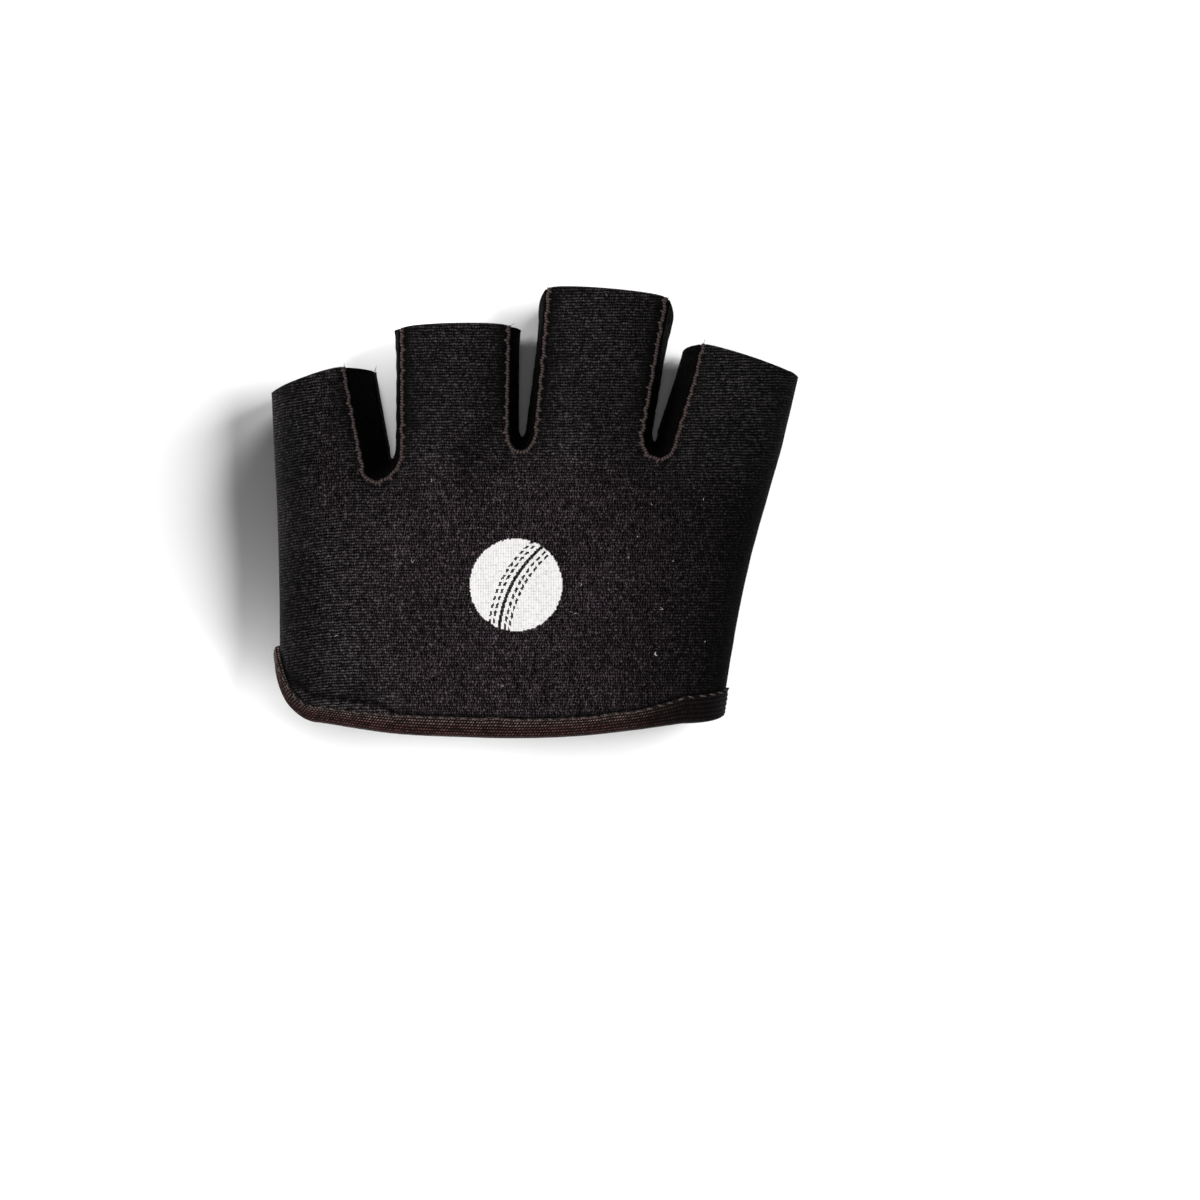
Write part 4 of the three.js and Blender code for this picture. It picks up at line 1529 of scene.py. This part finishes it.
@dataclass
class PalmSkin:
    """The quilted palm: one plush cloth over foam pads, sewn down in a groove round each."""

    panel: Panel
    wardrobe: Wardrobe
    swell: float = 2.0
    shoulder: float = 1.15
    groove: float = 0.8
    groove_width: float = 0.75
    ease: float = 0.5
    stitch_pitch: float = 2.3
    pucker: float = 0.3
    pucker_reach: float = 1.2
    pull_pitch: float = 2.2
    hem_puff: float = 0.3
    grain: float = 0.12
    rim: float = 0.35
    stand_off: float = 0.02
    least_inward: float = 0.8

    def relief_at(self, plan: Array) -> tuple[Array, Array, Array]:
        """Relief of the palm at places in plan.

        Inside an outline the cloth rises to the pad's swell by 1 - exp(-distance / shoulder). On the line
        it sinks by a bell curve that is deepest at each stitch. Outside it rises a little, in small folds.

        Args:
            plan: places, one row (x, y) each.

        Returns:
            The relief outwards, a mark for painted shade in the sewn grooves, and how far it is on a pad.
        """
        relief, sunk, full = (np.zeros(len(plan)) for _ in range(3))
        for pad in PADS:
            outline = pad.outline()
            low, high = outline.min(axis=0) - 4, outline.max(axis=0) + 4
            near = np.flatnonzero(((plan > low) & (plan < high)).all(axis=1))
            distance, along = nearest_on_path(plan[near], outline, closed=True)
            inside = inside_outline(plan[near], outline)
            rise = self.swell * (1 - np.exp(-distance / self.shoulder)) ** 1.2
            tug = 0.5 - 0.5 * np.cos(2 * np.pi * along / self.stitch_pitch)
            line = bell(distance, 0, self.groove_width)
            fold = self.ease * bell(distance, 2.1, 1.4) * (1 - 0.35 * tug)
            relief[near] += np.where(inside, rise, fold) - self.groove * line * (0.55 + 0.45 * tug)
            # painted shade in the groove, darkest at each stitch
            sunk[near] = np.maximum(sunk[near], line * (0.6 + 0.4 * tug))
            full[near] = np.maximum(full[near], np.where(inside, np.minimum(rise / self.swell, 1), 0))
        return relief, sunk, full

    def build(self) -> Thing:
        """Returns:
            The new piece.
        """
        panel = self.panel
        relief, sunk, full = self.relief_at(panel.smooth[:, :2])
        dip, seam = panel.gap_relief(self.pucker, self.pucker_reach, self.pull_pitch)
        hem, drawn, _ = panel.hem_relief(puff=self.hem_puff)
        dip, seam = dip + hem, np.maximum(seam, drawn)
        turn = panel.lines.turn[panel.column]
        relief = relief * ramp(turn, 0.0, 0.8)
        grain = self.grain * ripple(panel.smooth, 9, seed=21) * (1 - 0.5 * full)
        relief = relief + dip + grain * ramp(turn, 0.0, 0.4)
        depth = panel.smooth[:, 2] / np.maximum(-panel.normals[:, 2], 1e-3)
        resting = np.minimum(relief, depth - self.stand_off)
        relief = np.where(panel.normals[:, 2] < -0.5, resting, relief)
        # The knit is lighter over the pads, with random tone; sunk grooves and seams get painted shade.
        light_and_tone = 0.5 * full + 0.2 * ripple(panel.smooth, 15, seed=22)
        body = panel.shell(relief, 0 * relief, self.rim, {"sunk": np.maximum(sunk, seam) * 0.7, "light_and_tone": light_and_tone})
        wardrobe_or_tape_shade = self.wardrobe
        piece = body.build("palm_skin", [wardrobe_or_tape_shade.palm, wardrobe_or_tape_shade.lining, wardrobe_or_tape_shade.foam])
        place(piece, "palm_knit", "palm_panel", *(pad.name for pad in PADS))
        return piece

    def stitch_rows(self) -> Thing:
        """The needle stitches that hold each pad, lying in its groove.

        Returns:
            The new piece.
        """
        form, rows = self.panel.form, []
        for seed, pad in enumerate(PADS):
            loop = pad.outline(0.3)
            x, y = loop.T
            inward = np.minimum(x - form.seam_x(-1, y, 0), form.seam_x(1, y, 0) - x)
            start = int(inward.argmin()) if inward.min() < self.least_inward else 0
            loop, inward = np.roll(loop, -start, axis=0), np.roll(inward, -start)
            loop = loop[inward > self.least_inward] if start else np.concatenate([loop, loop[:1]])
            x, y = loop.T
            out = form.palm_out(x, y)
            lift = self.relief_at(loop)[0]
            base = np.stack([x, y, form.palm_height(x, y)], axis=1)
            path = SurfacePath(base + out * (lift + 0.05)[:, None], out)
            rows.append(stitches(path, self.stitch_pitch, 1.6, 0.17, 40 + seed, skew=0.06))
        piece = merged(rows).build("pad_stitches", [self.wardrobe.pad_thread])
        return place(piece, "palm_knit")


@dataclass
class GapWeb:
    """The dark strip that lines one finger gap, from the back's edge down to the palm's."""

    back: Panel
    palm: Panel
    gap: int
    wardrobe: Wardrobe
    wall: float = 1.4
    cover: float = 0.42
    tuck: float = 0.12
    bulge: float = 0.4
    flare: float = 0.6
    inset: float = 0.3
    thin: float = 0.1
    crease: float = 0.08
    cloth_width: float = 11.0
    levels: Array = field(
        default_factory=lambda: np.concatenate(
            [[0, 0.03, 0.1, 0.19, 0.22], np.linspace(0.26, 0.74, 9), [0.78, 0.81, 0.9, 0.97, 1]]
        )
    )

    def build(self, name: str, node: str) -> Thing:
        """Make the strip.

        Its outer face is ruled from edge to edge and bulges by 4 t (1 - t); both its edges are tucked
        under the seams. Its inner face lies a wall further into the stall, and close behind the outer
        one where it covers the panels' cut edges.

        Args:
            name: the piece's name.
            node: the solid that it replaces.

        Returns:
            The new piece.
        """
        top = self.back.smooth[self.back.gap_edges[self.gap]] - np.array([0, 0, self.inset])
        foot = self.palm.smooth[self.palm.gap_edges[self.gap]] + np.array([0, 0, self.inset])
        way = np.gradient(top, axis=0) + np.gradient(foot, axis=0)
        into = unit(np.stack([-way[:, 1], way[:, 0], 0 * way[:, 0]], axis=1))
        t = self.levels[:, None, None]
        slanted = np.stack([top[:, 0] + top[:, 1], top[:, 1]], axis=1)
        crease = self.crease * ripple(slanted, 5, seed=31 + self.gap)
        end = np.linspace(-1, 1, len(top)) ** 8
        bulge = (self.bulge + self.flare * end)[None, :, None]
        hold = ramp(np.minimum(t, 1 - t), 0, 0.03)
        proud = (self.cover + self.tuck) * hold - self.tuck + 4 * bulge * t * (1 - t)
        proud = proud + crease[None, :, None] * np.sin(np.pi * t)
        outside = top * (1 - t) + foot * t + into * proud
        depth = self.thin + (self.wall - self.thin) * ramp(np.minimum(t, 1 - t), 0.19, 0.22)
        inside = outside - into * depth
        rows, width = len(self.levels), len(top)
        body = Surface(np.concatenate([outside.reshape(-1, 3), inside.reshape(-1, 3)]))
        count = rows * width
        body.add_faces(grid_faces(rows, width)[:, ::-1], 0)
        body.add_faces(grid_faces(rows, width, first=count), 0)
        number = np.arange(count).reshape(rows, width)
        rim = np.concatenate([number[0], number[1:, -1], number[-1, -2::-1], number[-2:0:-1, 0]])
        after = np.roll(rim, -1)
        body.add_faces(np.stack([rim, after, after + count, rim + count], axis=1), 0)
        along = length_along(top)
        cloth = cloth_grid(self.levels[:, None] * self.cloth_width, along, (rows, width))
        body.cloth = np.concatenate([cloth, cloth])
        # painted shade: the strip darkens from the back's edge down towards the palm's
        dim = np.broadcast_to(0.35 * ramp(self.levels, 0.1, 0.7)[:, None], (rows, width)).ravel()
        body.marks = {"sunk": np.concatenate([dim, dim]), "light_and_tone": np.zeros(2 * count)}
        piece = body.build(name, [self.wardrobe.web])
        width = float(np.linalg.norm(np.diff(outside, axis=0), axis=2).sum(axis=0).mean())
        return place(piece, "gap_lining", node)


@dataclass
class GapSeam:
    """The overlocked edge of one finger gap: a wound roll of thread whose stitches pull into the cloth."""

    panel: Panel
    gap: int
    wardrobe: Wardrobe
    core: float = 0.21
    wrap: float = 0.18
    wrap_pitch: float = 0.56
    pull_pitch: float = 2.2
    pull: float = 0.6
    scallop: float = 0.05
    inset: float = 0.2
    sides: int = 12
    tail: float = 0.3
    depth: float = 0.22
    palm_share: float = 0.8

    def build(self, name: str) -> Thing:
        """Make the roll.

        Its radius is core + wrap |sin| of the turns, plus a spike towards the cloth at each pull.

        Args:
            name: the piece's name.

        Returns:
            The new piece.
        """
        panel, face = self.panel, self.panel.pattern.side.value
        edge = panel.gap_edges[self.gap]
        points = panel.smooth[edge] - panel.normals[edge] * self.depth
        ends = unit(points[[0, -1]] - points[[2, -3]]) * self.tail
        points = np.concatenate([points[:1] + ends[:1], points, points[-1:] + ends[1:]])
        outward = np.concatenate([panel.normals[edge[:1]], panel.normals[edge], panel.normals[edge[-1:]]])
        path = SurfacePath(points, outward).resampled(0.5).softened(2).resampled(self.wrap_pitch / 5)
        _, out, across = path.axes
        along = path.along
        thin = 1.0 if panel.pattern.side is Side.BACK else self.palm_share
        wobble = 0.16 * ripple(along[:, None], 3.1, seed=50 + self.gap)
        wobble += face * (self.inset + self.scallop * np.cos(2 * np.pi * (along / self.pull_pitch - 0.5)))
        path = SurfacePath(path.points + across * wobble[:, None], out)
        angle = ring_angles(self.sides)
        rng = np.random.default_rng(60 + self.gap)
        pulls = np.arange(self.pull_pitch / 2, along[-1], self.pull_pitch)
        pulls = pulls + rng.normal(0, 0.18, len(pulls))
        strength = self.pull * rng.uniform(0.5, 1.25, len(pulls))
        spike = (strength * bell(along[:, None], pulls, 0.15)).sum(axis=1)
        lobe = np.clip(np.sin(angle) * face * 0.97 + 0.25 * np.cos(angle), 0, 1) ** 6
        uneven = 0.5 * ripple(along[:, None], 2.1, seed=90 + self.gap)
        turns = np.abs(np.sin(np.pi * along[:, None] / self.wrap_pitch + 0.6 * angle[None] + uneven[:, None]))
        fray = 1 + 0.2 * ripple(along[:, None], 1.3, seed=70 + self.gap)
        end = np.minimum(along, along[-1] - along)
        knob = 1 + 0.7 * bell(end, 0.45, 0.45) - 0.6 * np.exp(-end / 0.12)
        radius = (self.core * fray * knob)[:, None] + self.wrap * turns + spike[:, None] * lobe
        roll = rope(path, radius * thin)
        # painted light and shade: the roll is lighter on its side away from the cloth and darker between the
        # turns; the pulls are light thread
        crest = turns**1.5 * (0.7 + 0.3 * np.cos(angle))
        roll.marks = {"strand": np.clip(crest + 0.8 * spike[:, None] * lobe, 0, 1).ravel()}
        piece = roll.build(name, [self.wardrobe.seam_thread], crease_deg=180)
        return place(piece, "gap_lining")

    def tails(self, seed: int) -> Surface:
        """Loose thread ends where the seam stops at the two fingertips.

        Args:
            seed: the number that fixes their shapes.

        Returns:
            All the ends as one surface.
        """
        panel = self.panel
        edge = panel.gap_edges[self.gap]
        rng = np.random.default_rng(seed)
        strands, back = [], panel.pattern.side is Side.BACK
        for first, second in ((edge[0], edge[3]), (edge[-1], edge[-4])):
            tip, way = panel.smooth[first], unit(panel.smooth[first] - panel.smooth[second])
            for _ in range(2 if back else 5):
                t = np.linspace(0, 1, 8)[:, None]
                aim = unit(way + rng.normal(0, 0.45, 3))
                curl = rng.normal(0, 0.35, 3)
                start = tip - panel.normals[first] * 0.3 + rng.normal(0, 0.18, 3)
                line = start + aim * t * rng.uniform(0.5, 1.2) * (0.6 if back else 1) + curl * t**2
                path = SurfacePath(line, np.broadcast_to(panel.normals[first], line.shape))
                strands.append(rope(path, np.full((len(line), 5), 0.07) * (1 - 0.6 * t)))
        return merged(strands)


@dataclass
class WristBinding:
    """The ribbed tape folded over the wrist edge of both panels, with its row of stitches."""

    back: Panel
    palm: Panel
    wardrobe: Wardrobe
    tape: float = 0.8
    near: float = 0.22
    rib_pitch: float = 0.6
    rib_depth: float = 0.07
    stitch_pitch: float = 2.15
    flush: float = 0.6
    outer_points: int = 34
    turn_points: int = 12
    inner_points: int = 12
    hidden_points: int = 7
    lip: float = 0.05
    swell: float = 0.22
    slope: float = 0.1
    slack: float = 0.12
    # how strongly painted shade darkens the tape at its ends and in the tuck
    darkest: float = -0.88
    drawn_dim: float = 0.5
    left_dim: float = 0.35
    fold_from: tuple = (0.9, 3.2)
    right_fold: float = 0.7

    def _stations(self) -> tuple[Array, ...]:
        """Stations round the mouth: points of the edge and a tape's width up, and the ways out and down.

        Returns:
            Edge, top, way out and way down, (stations, 3) each.
        """
        edges, tops, outs = [], [], []
        for panel, order in ((self.back, 1), (self.palm, -1)):
            tops.append(panel.path_at(panel.tape_top()).points[::order])
            edges.append(panel.smooth[panel.number[0]][::order])
            outs.append(panel.normals[panel.number[0]][::order])
        edge, top, out = (np.concatenate(parts) for parts in (edges, tops, outs))
        before, after = np.roll(edge, 1, axis=0), np.roll(edge, -1, axis=0)
        seam = len(edges[0])
        before[[0, seam]] = np.roll(edge, 2, axis=0)[[0, seam]]
        after[[seam - 1, -1]] = np.roll(edge, -2, axis=0)[[seam - 1, -1]]
        down = unit(np.cross(unit(after - before), out))
        return edge, top, out, down

    def _section(self) -> tuple[Array, Array, Array]:
        """The tape's section: each point's share of the way up, its way below the edge and its way out.

        It runs down the outer face, round the edge in half an ellipse and up the inner face, then back
        inside.

        Returns:
            The three numbers of each point.
        """
        wall, near, far = self.back.form.wall, self.near, self.near + self.tape

        def face(up: Array) -> Array:
            """How far the tape's face stands out of the panel: a lip at its edge, and a low swell."""
            swell = self.swell * np.sin(np.pi * np.clip((1 - up) / 0.9, 0, 1)) ** 2 + self.slope * (1 - up)
            return far - (far - near) * np.exp(-(1 - up) / self.lip) + swell

        up, back_up, hidden = (
            np.linspace(1, 0, count) for count in (self.outer_points, self.inner_points, self.hidden_points)
        )
        turn = np.linspace(0, np.pi, self.turn_points + 2)[1:-1]
        half = wall / 2 + far
        share = np.concatenate([up, 0 * turn, back_up[::-1], hidden, hidden[::-1]])
        below = np.concatenate([0 * up, far * 1.05 * np.sin(turn), 0 * back_up, 0 * hidden, 0 * hidden])
        round_edge = (half + 0.1) * np.cos(turn) - wall / 2
        inner = -wall - near + 0 * hidden
        away = np.concatenate([face(up), round_edge, -wall - face(back_up[::-1]), inner, near + 0 * hidden])
        return share, below, away

    def _flat_end(self, edge: Array) -> Array:
        """How much of its thickness the tape loses at each station, near the index finger's side."""
        return self.flush * ramp(edge[:, 0], 31, 37)[:, None]

    def build(self) -> Thing:
        """Make the tape: the section carried round the mouth, with ribs that run along it.

        Returns:
            The new piece.
        """
        edge, top, out, down = self._stations()
        share, below, away = self._section()
        middle = edge[:, None] + (top - edge)[:, None] * share[:, None] + down[:, None] * below[:, None]
        reach = np.linalg.norm(top - edge, axis=1).mean()
        steps = np.sqrt((np.diff(share) * reach) ** 2 + np.diff(below) ** 2 + np.diff(away) ** 2)
        line = np.concatenate([[0], np.cumsum(steps)])
        number = np.arange(len(share))
        skin = number < self.outer_points + self.turn_points + self.inner_points
        ribbed = number < self.outer_points + self.turn_points
        rib = -self.rib_depth * np.cos(2 * np.pi * line / self.rib_pitch) * ribbed
        along = length_along(edge)
        slack = self.slack * ripple(along[:, None], 7, seed=81)[:, None] * skin
        sign = np.where(number < self.outer_points + self.turn_points / 2, 1, -1)
        turned = np.clip((number - self.outer_points) / self.turn_points, 0, 1)
        thinned = self._flat_end(edge) * (0.5 + 0.5 * np.cos(np.pi * turned))
        away = self.near + (away - self.near) * (1 - thinned)
        plain = middle + out[:, None] * away[..., None]
        points = plain + out[:, None] * ((rib + slack) * sign)[..., None]
        stations, size = points.shape[:2]
        body = Surface(points.reshape(-1, 3))
        near, last = np.arange(size), (stations - 1) * size
        after = np.roll(near, -1)
        closing = np.stack([last + near, last + after, after, near], axis=1)
        body.add_faces(np.concatenate([grid_faces(stations, size, closed=True), closing]))
        body.cloth = cloth_grid(along[:, None], line, (stations, size))
        x = edge[:, :1]
        # Painted shade: the tape darkens towards the index finger's end, where it turns down, in the tuck
        # near its upper edge on the little finger's side, and at the little finger's end.
        tucked, drawn = bell(line, 0.15, 0.6), bell(x, -37, 9)
        shade = self.darkest * ramp(x, 10, 32) - self.drawn_dim * drawn * tucked
        shade = np.maximum(shade - self.left_dim * ramp(-x, 38, 48), self.darkest)
        low = np.minimum(ramp(line, *self.fold_from) + self.right_fold * ramp(x, 18, 32), 1)
        body.marks = {
            name: np.broadcast_to(values, (stations, size)).ravel()
            for name, values in (("light_and_tone", shade), ("low", low))
        }
        piece = body.build("wrist_tape", [self.wardrobe.tape], crease_deg=75)
        return place(piece, "binding_tape", "wrist_binding")

    def stitch_row(self) -> Thing:
        """The needle stitches that hold the tape, over its upper edge."""
        edge, top, out, _ = self._stations()
        lift = self.near + self.tape * 0.9 * (1 - self._flat_end(edge))
        line = top + unit(edge - top) * 0.25 + out * lift
        loop = SurfacePath(np.concatenate([line, line[:1]]), np.concatenate([out, out[:1]]))
        row = stitches(loop.resampled(0.5), self.stitch_pitch, 1.5, 0.17, 83, skew=0.18)
        return place(row.build("tape_stitches", [self.wardrobe.tape_thread]), "binding_tape")


@dataclass
class SideSeam:
    """The flat seam that joins back and palm along one side of the hand."""

    back: Panel
    wardrobe: Wardrobe
    radius: float = 0.3
    wrap: float = 0.08
    wrap_pitch: float = 0.55
    inset: float = 0.12
    sides: int = 8

    def build(self, name: str, column: int) -> Thing:
        """Make the seam roll in the slit between the panels, from the tape to the stall's opening.

        Args:
            name: the piece's name.
            column: the line that it follows.

        Returns:
            The new piece.
        """
        panel = self.back
        numbers = panel.number[:, column]
        side = panel.lines.side[column]
        inset = np.array([-side * self.inset, 0, panel.form.fold_z])
        points = panel.smooth[numbers] * np.array([1, 1, 0]) + inset
        out = np.broadcast_to(np.array([float(side), 0.0, 0.0]), points.shape)
        path = SurfacePath(points, out).resampled(self.wrap_pitch / 5)
        angle = ring_angles(self.sides)
        turns = np.abs(np.sin(np.pi * path.along[:, None] / self.wrap_pitch + 0.5 * angle[None]))
        flat = 0.7 + 0.5 * np.abs(np.sin(angle))[None]
        roll = rope(path, (self.radius + self.wrap * turns) * flat)
        # painted shade: the roll darkens between its wraps
        roll.marks = {"strand": turns.ravel()}
        return place(roll.build(name, [self.wardrobe.dark_thread], crease_deg=180), "back_knit")


@dataclass
class BackPrint:
    """A plain white print of a ball with a sewn seam, on the middle of the back."""

    skin: BackSkin
    wardrobe: Wardrobe
    centre: tuple = (-3.7, -14.4)
    radius: float = 9.2
    cell: float = 0.2
    tilt_deg: float = -28.0
    bow: float = 0.022
    seam_offset: float = 0.8
    seam_half: float = 0.34
    seam_rows: tuple = (1.25, 2.15)
    row_half: float = 0.24
    stitch_pitch: float = 1.5
    stitch_half: float = 0.46
    heights: tuple = (0.09, 0.03)

    def build(self) -> Thing:
        """Lay the print on the cloth.

        Cells of a square grid are kept inside the disc, but not on the bowed seam line or on the rows of
        slanting stitches beside it; all outlines wander by a fraction of a loop.

        Returns:
            The new piece.
        """
        reach = np.arange(-self.radius - 2 * self.cell, self.radius + 2 * self.cell, self.cell)
        x, y = (a.ravel() for a in np.meshgrid(reach, reach, indexing="xy"))
        size = len(reach)
        middle = np.stack([x, y], axis=1) + self.cell / 2
        ragged = 0.12 * ripple(middle, 0.9, seed=91) + 0.06 * ripple(middle, 0.45, seed=92)
        tilt = math.radians(self.tilt_deg)
        p = middle[:, 0] * math.cos(tilt) + middle[:, 1] * math.sin(tilt)
        q = -middle[:, 0] * math.sin(tilt) + middle[:, 1] * math.cos(tilt)
        bend = p - self.bow * q**2 + self.seam_offset
        white = np.hypot(*middle.T) + ragged < self.radius
        white &= np.abs(bend) - self.seam_half + 0.5 * ragged > 0
        place_in_pitch = (q + 40 + 0.5 * np.abs(bend)) % self.stitch_pitch - self.stitch_pitch / 2
        dash = np.abs(place_in_pitch) - self.stitch_half
        for row in self.seam_rows:
            white &= np.maximum(dash, np.abs(np.abs(bend) - row) - self.row_half) + 0.5 * ragged > 0
        white = white.reshape(size, size)[:-1, :-1]
        plan = np.stack([x, y], axis=1) + np.array(self.centre)
        height, out = self.skin.surface_z(plan)
        vertices = np.concatenate([plan, height[:, None]], axis=1)
        faces = grid_faces(size, size).reshape(size - 1, size - 1, 4)[white]
        kept, renumbered = np.unique(faces, return_inverse=True)
        faces = renumbered.reshape(faces.shape)
        layers = [vertices[kept] + out[kept] * lift for lift in self.heights]
        count = len(kept)
        start, end = border_edges(faces, count).T
        body = Surface(np.concatenate(layers), cloth=np.concatenate([plan[kept], plan[kept]]))
        body.add_faces(faces)
        body.add_faces(faces[:, ::-1] + count)
        body.add_faces(np.stack([end, start, start + count, end + count], axis=1))
        return place(body.build("back_print", [self.wardrobe.ink]), "back_knit")


@dataclass
class Lint:
    """A few stray pale fibres and specks that cling to the knit."""

    skin: BackSkin
    wardrobe: Wardrobe
    count: int = 16
    lowest: tuple = (-44, -36)
    highest: tuple = (36, 10)
    speck: tuple = (24.0, -28.2)
    lift: float = 0.12

    def build(self) -> Thing:
        """Scatter short curved fibres over the back, and one longer speck low on the right.

        Returns:
            The new piece.
        """
        rng = np.random.default_rng(101)
        place_at = rng.uniform(self.lowest, self.highest, (self.count, 2))
        place_at[0] = self.speck
        height, out = self.skin.surface_z(place_at)
        strands = []
        for number in range(self.count):
            t = np.linspace(-1, 1, 9)[:, None]
            angle = rng.uniform(0, np.pi) if number else 1.9
            long = rng.uniform(0.06, 0.4) if number else 0.42
            way = np.array([math.cos(angle), math.sin(angle), 0.0])
            bend = np.array([-way[1], way[0], 0.0]) * rng.normal(0, 0.3)
            centre = np.array([*place_at[number], height[number]]) + out[number] * self.lift
            line = centre + way * t * long + bend * t**2
            thick = (0.045 if number else 0.14) * np.sqrt(np.clip(1.02 - t**2, 0.02, 1))
            path = SurfacePath(line, np.broadcast_to(out[number], line.shape))
            strands.append(rope(path, np.tile(thick, (1, 5))))
        return place(merged(strands).build("lint", [self.wardrobe.lint]), "back_knit")


# The studio


@dataclass(frozen=True)
class Lamp:
    """A soft square light on the glove alone, with its place and the point that it is turned to."""

    name: str
    size_mm: float
    watts: float
    place: tuple
    target: tuple = (0.0, 0.0, 8.0)


@dataclass
class Studio:
    """White floor with a shadow to the lower left, soft light on the glove and a camera straight above."""

    frame_mm: float = 240.0
    centre: tuple = (13.0, -17.4)
    subject_z: float = 12.0
    distance: float = 900.0
    world: float = 0.1
    sun_strength: float = 6.0
    sun_angle_deg: float = 38.0
    sun_height_deg: float = 33.0
    sun_turn_deg: float = 11.0
    top_sun_strength: float = 0.12
    top_sun_angle_deg: float = 14.0
    fills: tuple = (
        ("tip_fill", 0.05, (-35.0, 53.6, 23.0)),
        ("corner_fill", 0.017, (-63.0, -43.0, 18.0)),
        ("hem_fill", 0.022, (-20.0, -56.0, 30.0)),
    )
    fill_size_mm: float = 8.0
    floor_half_mm: float = 4000.0
    lamps: tuple = (
        Lamp("left_light", 700, 13.0, (-870, -60, 860)),
        Lamp("top_light", 700, 5.0, (-120, 0, 1000)),
    )

    def _link(self, name: str, data: bpy.types.ID) -> Thing:
        """A new object in the scene."""
        thing = bpy.data.objects.new(name, data)
        bpy.context.scene.collection.objects.link(thing)
        return thing

    def _hang(
        self, name: str, kind: str, watts: float, place_mm: tuple, floor: Thing, only: bool = True
    ) -> Thing:
        """A new light that reaches the floor alone, or everything but the floor.

        Args:
            name: the light's name.
            kind: Blender's type of light.
            watts: its energy.
            place_mm: its place.
            floor: the floor's object.
            only: whether it reaches the floor alone.

        Returns:
            The light's object.
        """
        data = bpy.data.lights.new(name, kind)
        data.energy = watts
        lamp = self._link(name, data)
        lamp.location = np.array(place_mm) * MM
        group = bpy.data.collections.new(f"{name}_reaches" if only else f"{name}_leaves_out")
        group.objects.link(floor)
        if not only:
            group.collection_objects[0].light_linking.link_state = "EXCLUDE"
        lamp.light_linking.receiver_collection = group
        return lamp

    def _soft_light(self, lamp: Lamp, floor: Thing) -> None:
        """Hang a lamp, turned to its target, that leaves the floor out."""
        thing = self._hang(lamp.name, "AREA", lamp.watts, lamp.place, floor, only=False)
        thing.data.shape, thing.data.size = "SQUARE", lamp.size_mm * MM
        way = unit(np.array(lamp.target) - np.array(lamp.place))
        thing.rotation_euler = (math.acos(-way[2]), 0, math.atan2(way[1], way[0]) - QUARTER_TURN)

    def _sun(self, name: str, strength: float, angle_deg: float, height_deg: float, floor: Thing) -> None:
        """A light on the floor alone, which whitens it and casts the glove's shadow on it."""
        sun = self._hang(name, "SUN", strength, (0, 0, 1000), floor)
        sun.data.angle = math.radians(angle_deg)
        sun.rotation_euler = (0, math.radians(90 - height_deg), math.radians(self.sun_turn_deg))

    def _fill(self, name: str, watts: float, place_mm: tuple, floor: Thing) -> None:
        """A small lamp close to the floor and on it alone, which lightens part of the shadow."""
        fill = self._hang(name, "POINT", watts, place_mm, floor)
        fill.data.shadow_soft_size = self.fill_size_mm * MM
        fill.visible_camera = False

    def build(self) -> None:
        """Set up the floor, the lights, the world and the camera."""
        scene = bpy.context.scene
        corners = np.array([(-1, -1, 0), (1, -1, 0), (1, 1, 0), (-1, 1, 0)])
        floor = Surface(corners * self.floor_half_mm)
        floor.add_faces(np.array([[0, 1, 2, 3]]))
        ground = floor.build("floor", [FloorFinish().material()])
        for lamp in self.lamps:
            self._soft_light(lamp, ground)
        self._sun("side_sun", self.sun_strength, self.sun_angle_deg, self.sun_height_deg, ground)
        self._sun("top_sun", self.top_sun_strength, self.top_sun_angle_deg, 90, ground)
        for fill in self.fills:
            self._fill(*fill, ground)
        world = bpy.data.worlds.new("studio")
        world.use_nodes = True
        background = world.node_tree.nodes["Background"]
        background.inputs["Color"].default_value = (1, 1, 1, 1)
        background.inputs["Strength"].default_value = self.world
        scene.world = world
        scene.view_settings.view_transform = "Standard"
        data = bpy.data.cameras.new("camera")
        data.sensor_width = 36
        data.lens = data.sensor_width * self.distance / self.frame_mm
        camera = self._link("camera", data)
        camera.location = np.array([*self.centre, self.subject_z + self.distance]) * MM
        scene.camera = camera


def main() -> None:
    """Build every piece in order and report it."""
    logging.basicConfig(level=logging.INFO, format="%(name)s: %(message)s")
    form, steps, wardrobe = HandForm(), Fineness(), Wardrobe.made()
    back, palm = Panel(form, BACK_PATTERN, steps), Panel(form, PALM_PATTERN, steps)
    Studio().build()

    skin, quilt = BackSkin(back, wardrobe), PalmSkin(palm, wardrobe)
    pieces = [skin.build(), quilt.build(), quilt.stitch_rows()]
    for gap, name in enumerate(("little_ring", "ring_middle", "middle_index")):
        pieces.append(GapWeb(back, palm, gap, wardrobe).build(f"web_skin_{name}", f"web_{name}"))
        for panel, face in ((back, "back"), (palm, "palm")):
            pieces.append(GapSeam(panel, gap, wardrobe).build(f"seam_{name}_{face}"))
    tails = merged([
        GapSeam(panel, gap, wardrobe).tails(200 + 7 * gap + panel.pattern.side.value)
        for gap in range(3)
        for panel in (back, palm)
    ])
    pieces.append(place(tails.build("thread_tails", [wardrobe.tail_thread]), "gap_lining"))
    binding = WristBinding(back, palm, wardrobe)
    pieces += [binding.build(), binding.stitch_row()]
    for side, column in (("little", 0), ("index", len(back.lines.stall) - 1)):
        pieces.append(SideSeam(back, wardrobe).build(f"side_seam_{side}", column))
    pieces += [BackPrint(skin, wardrobe).build(), Lint(skin, wardrobe).build()]
    for piece in pieces:
        piece.data.calc_loop_triangles()
        LOG.info("%s: %d triangles", piece.name, len(piece.data.loop_triangles))


if __name__ == "__main__":
    main()
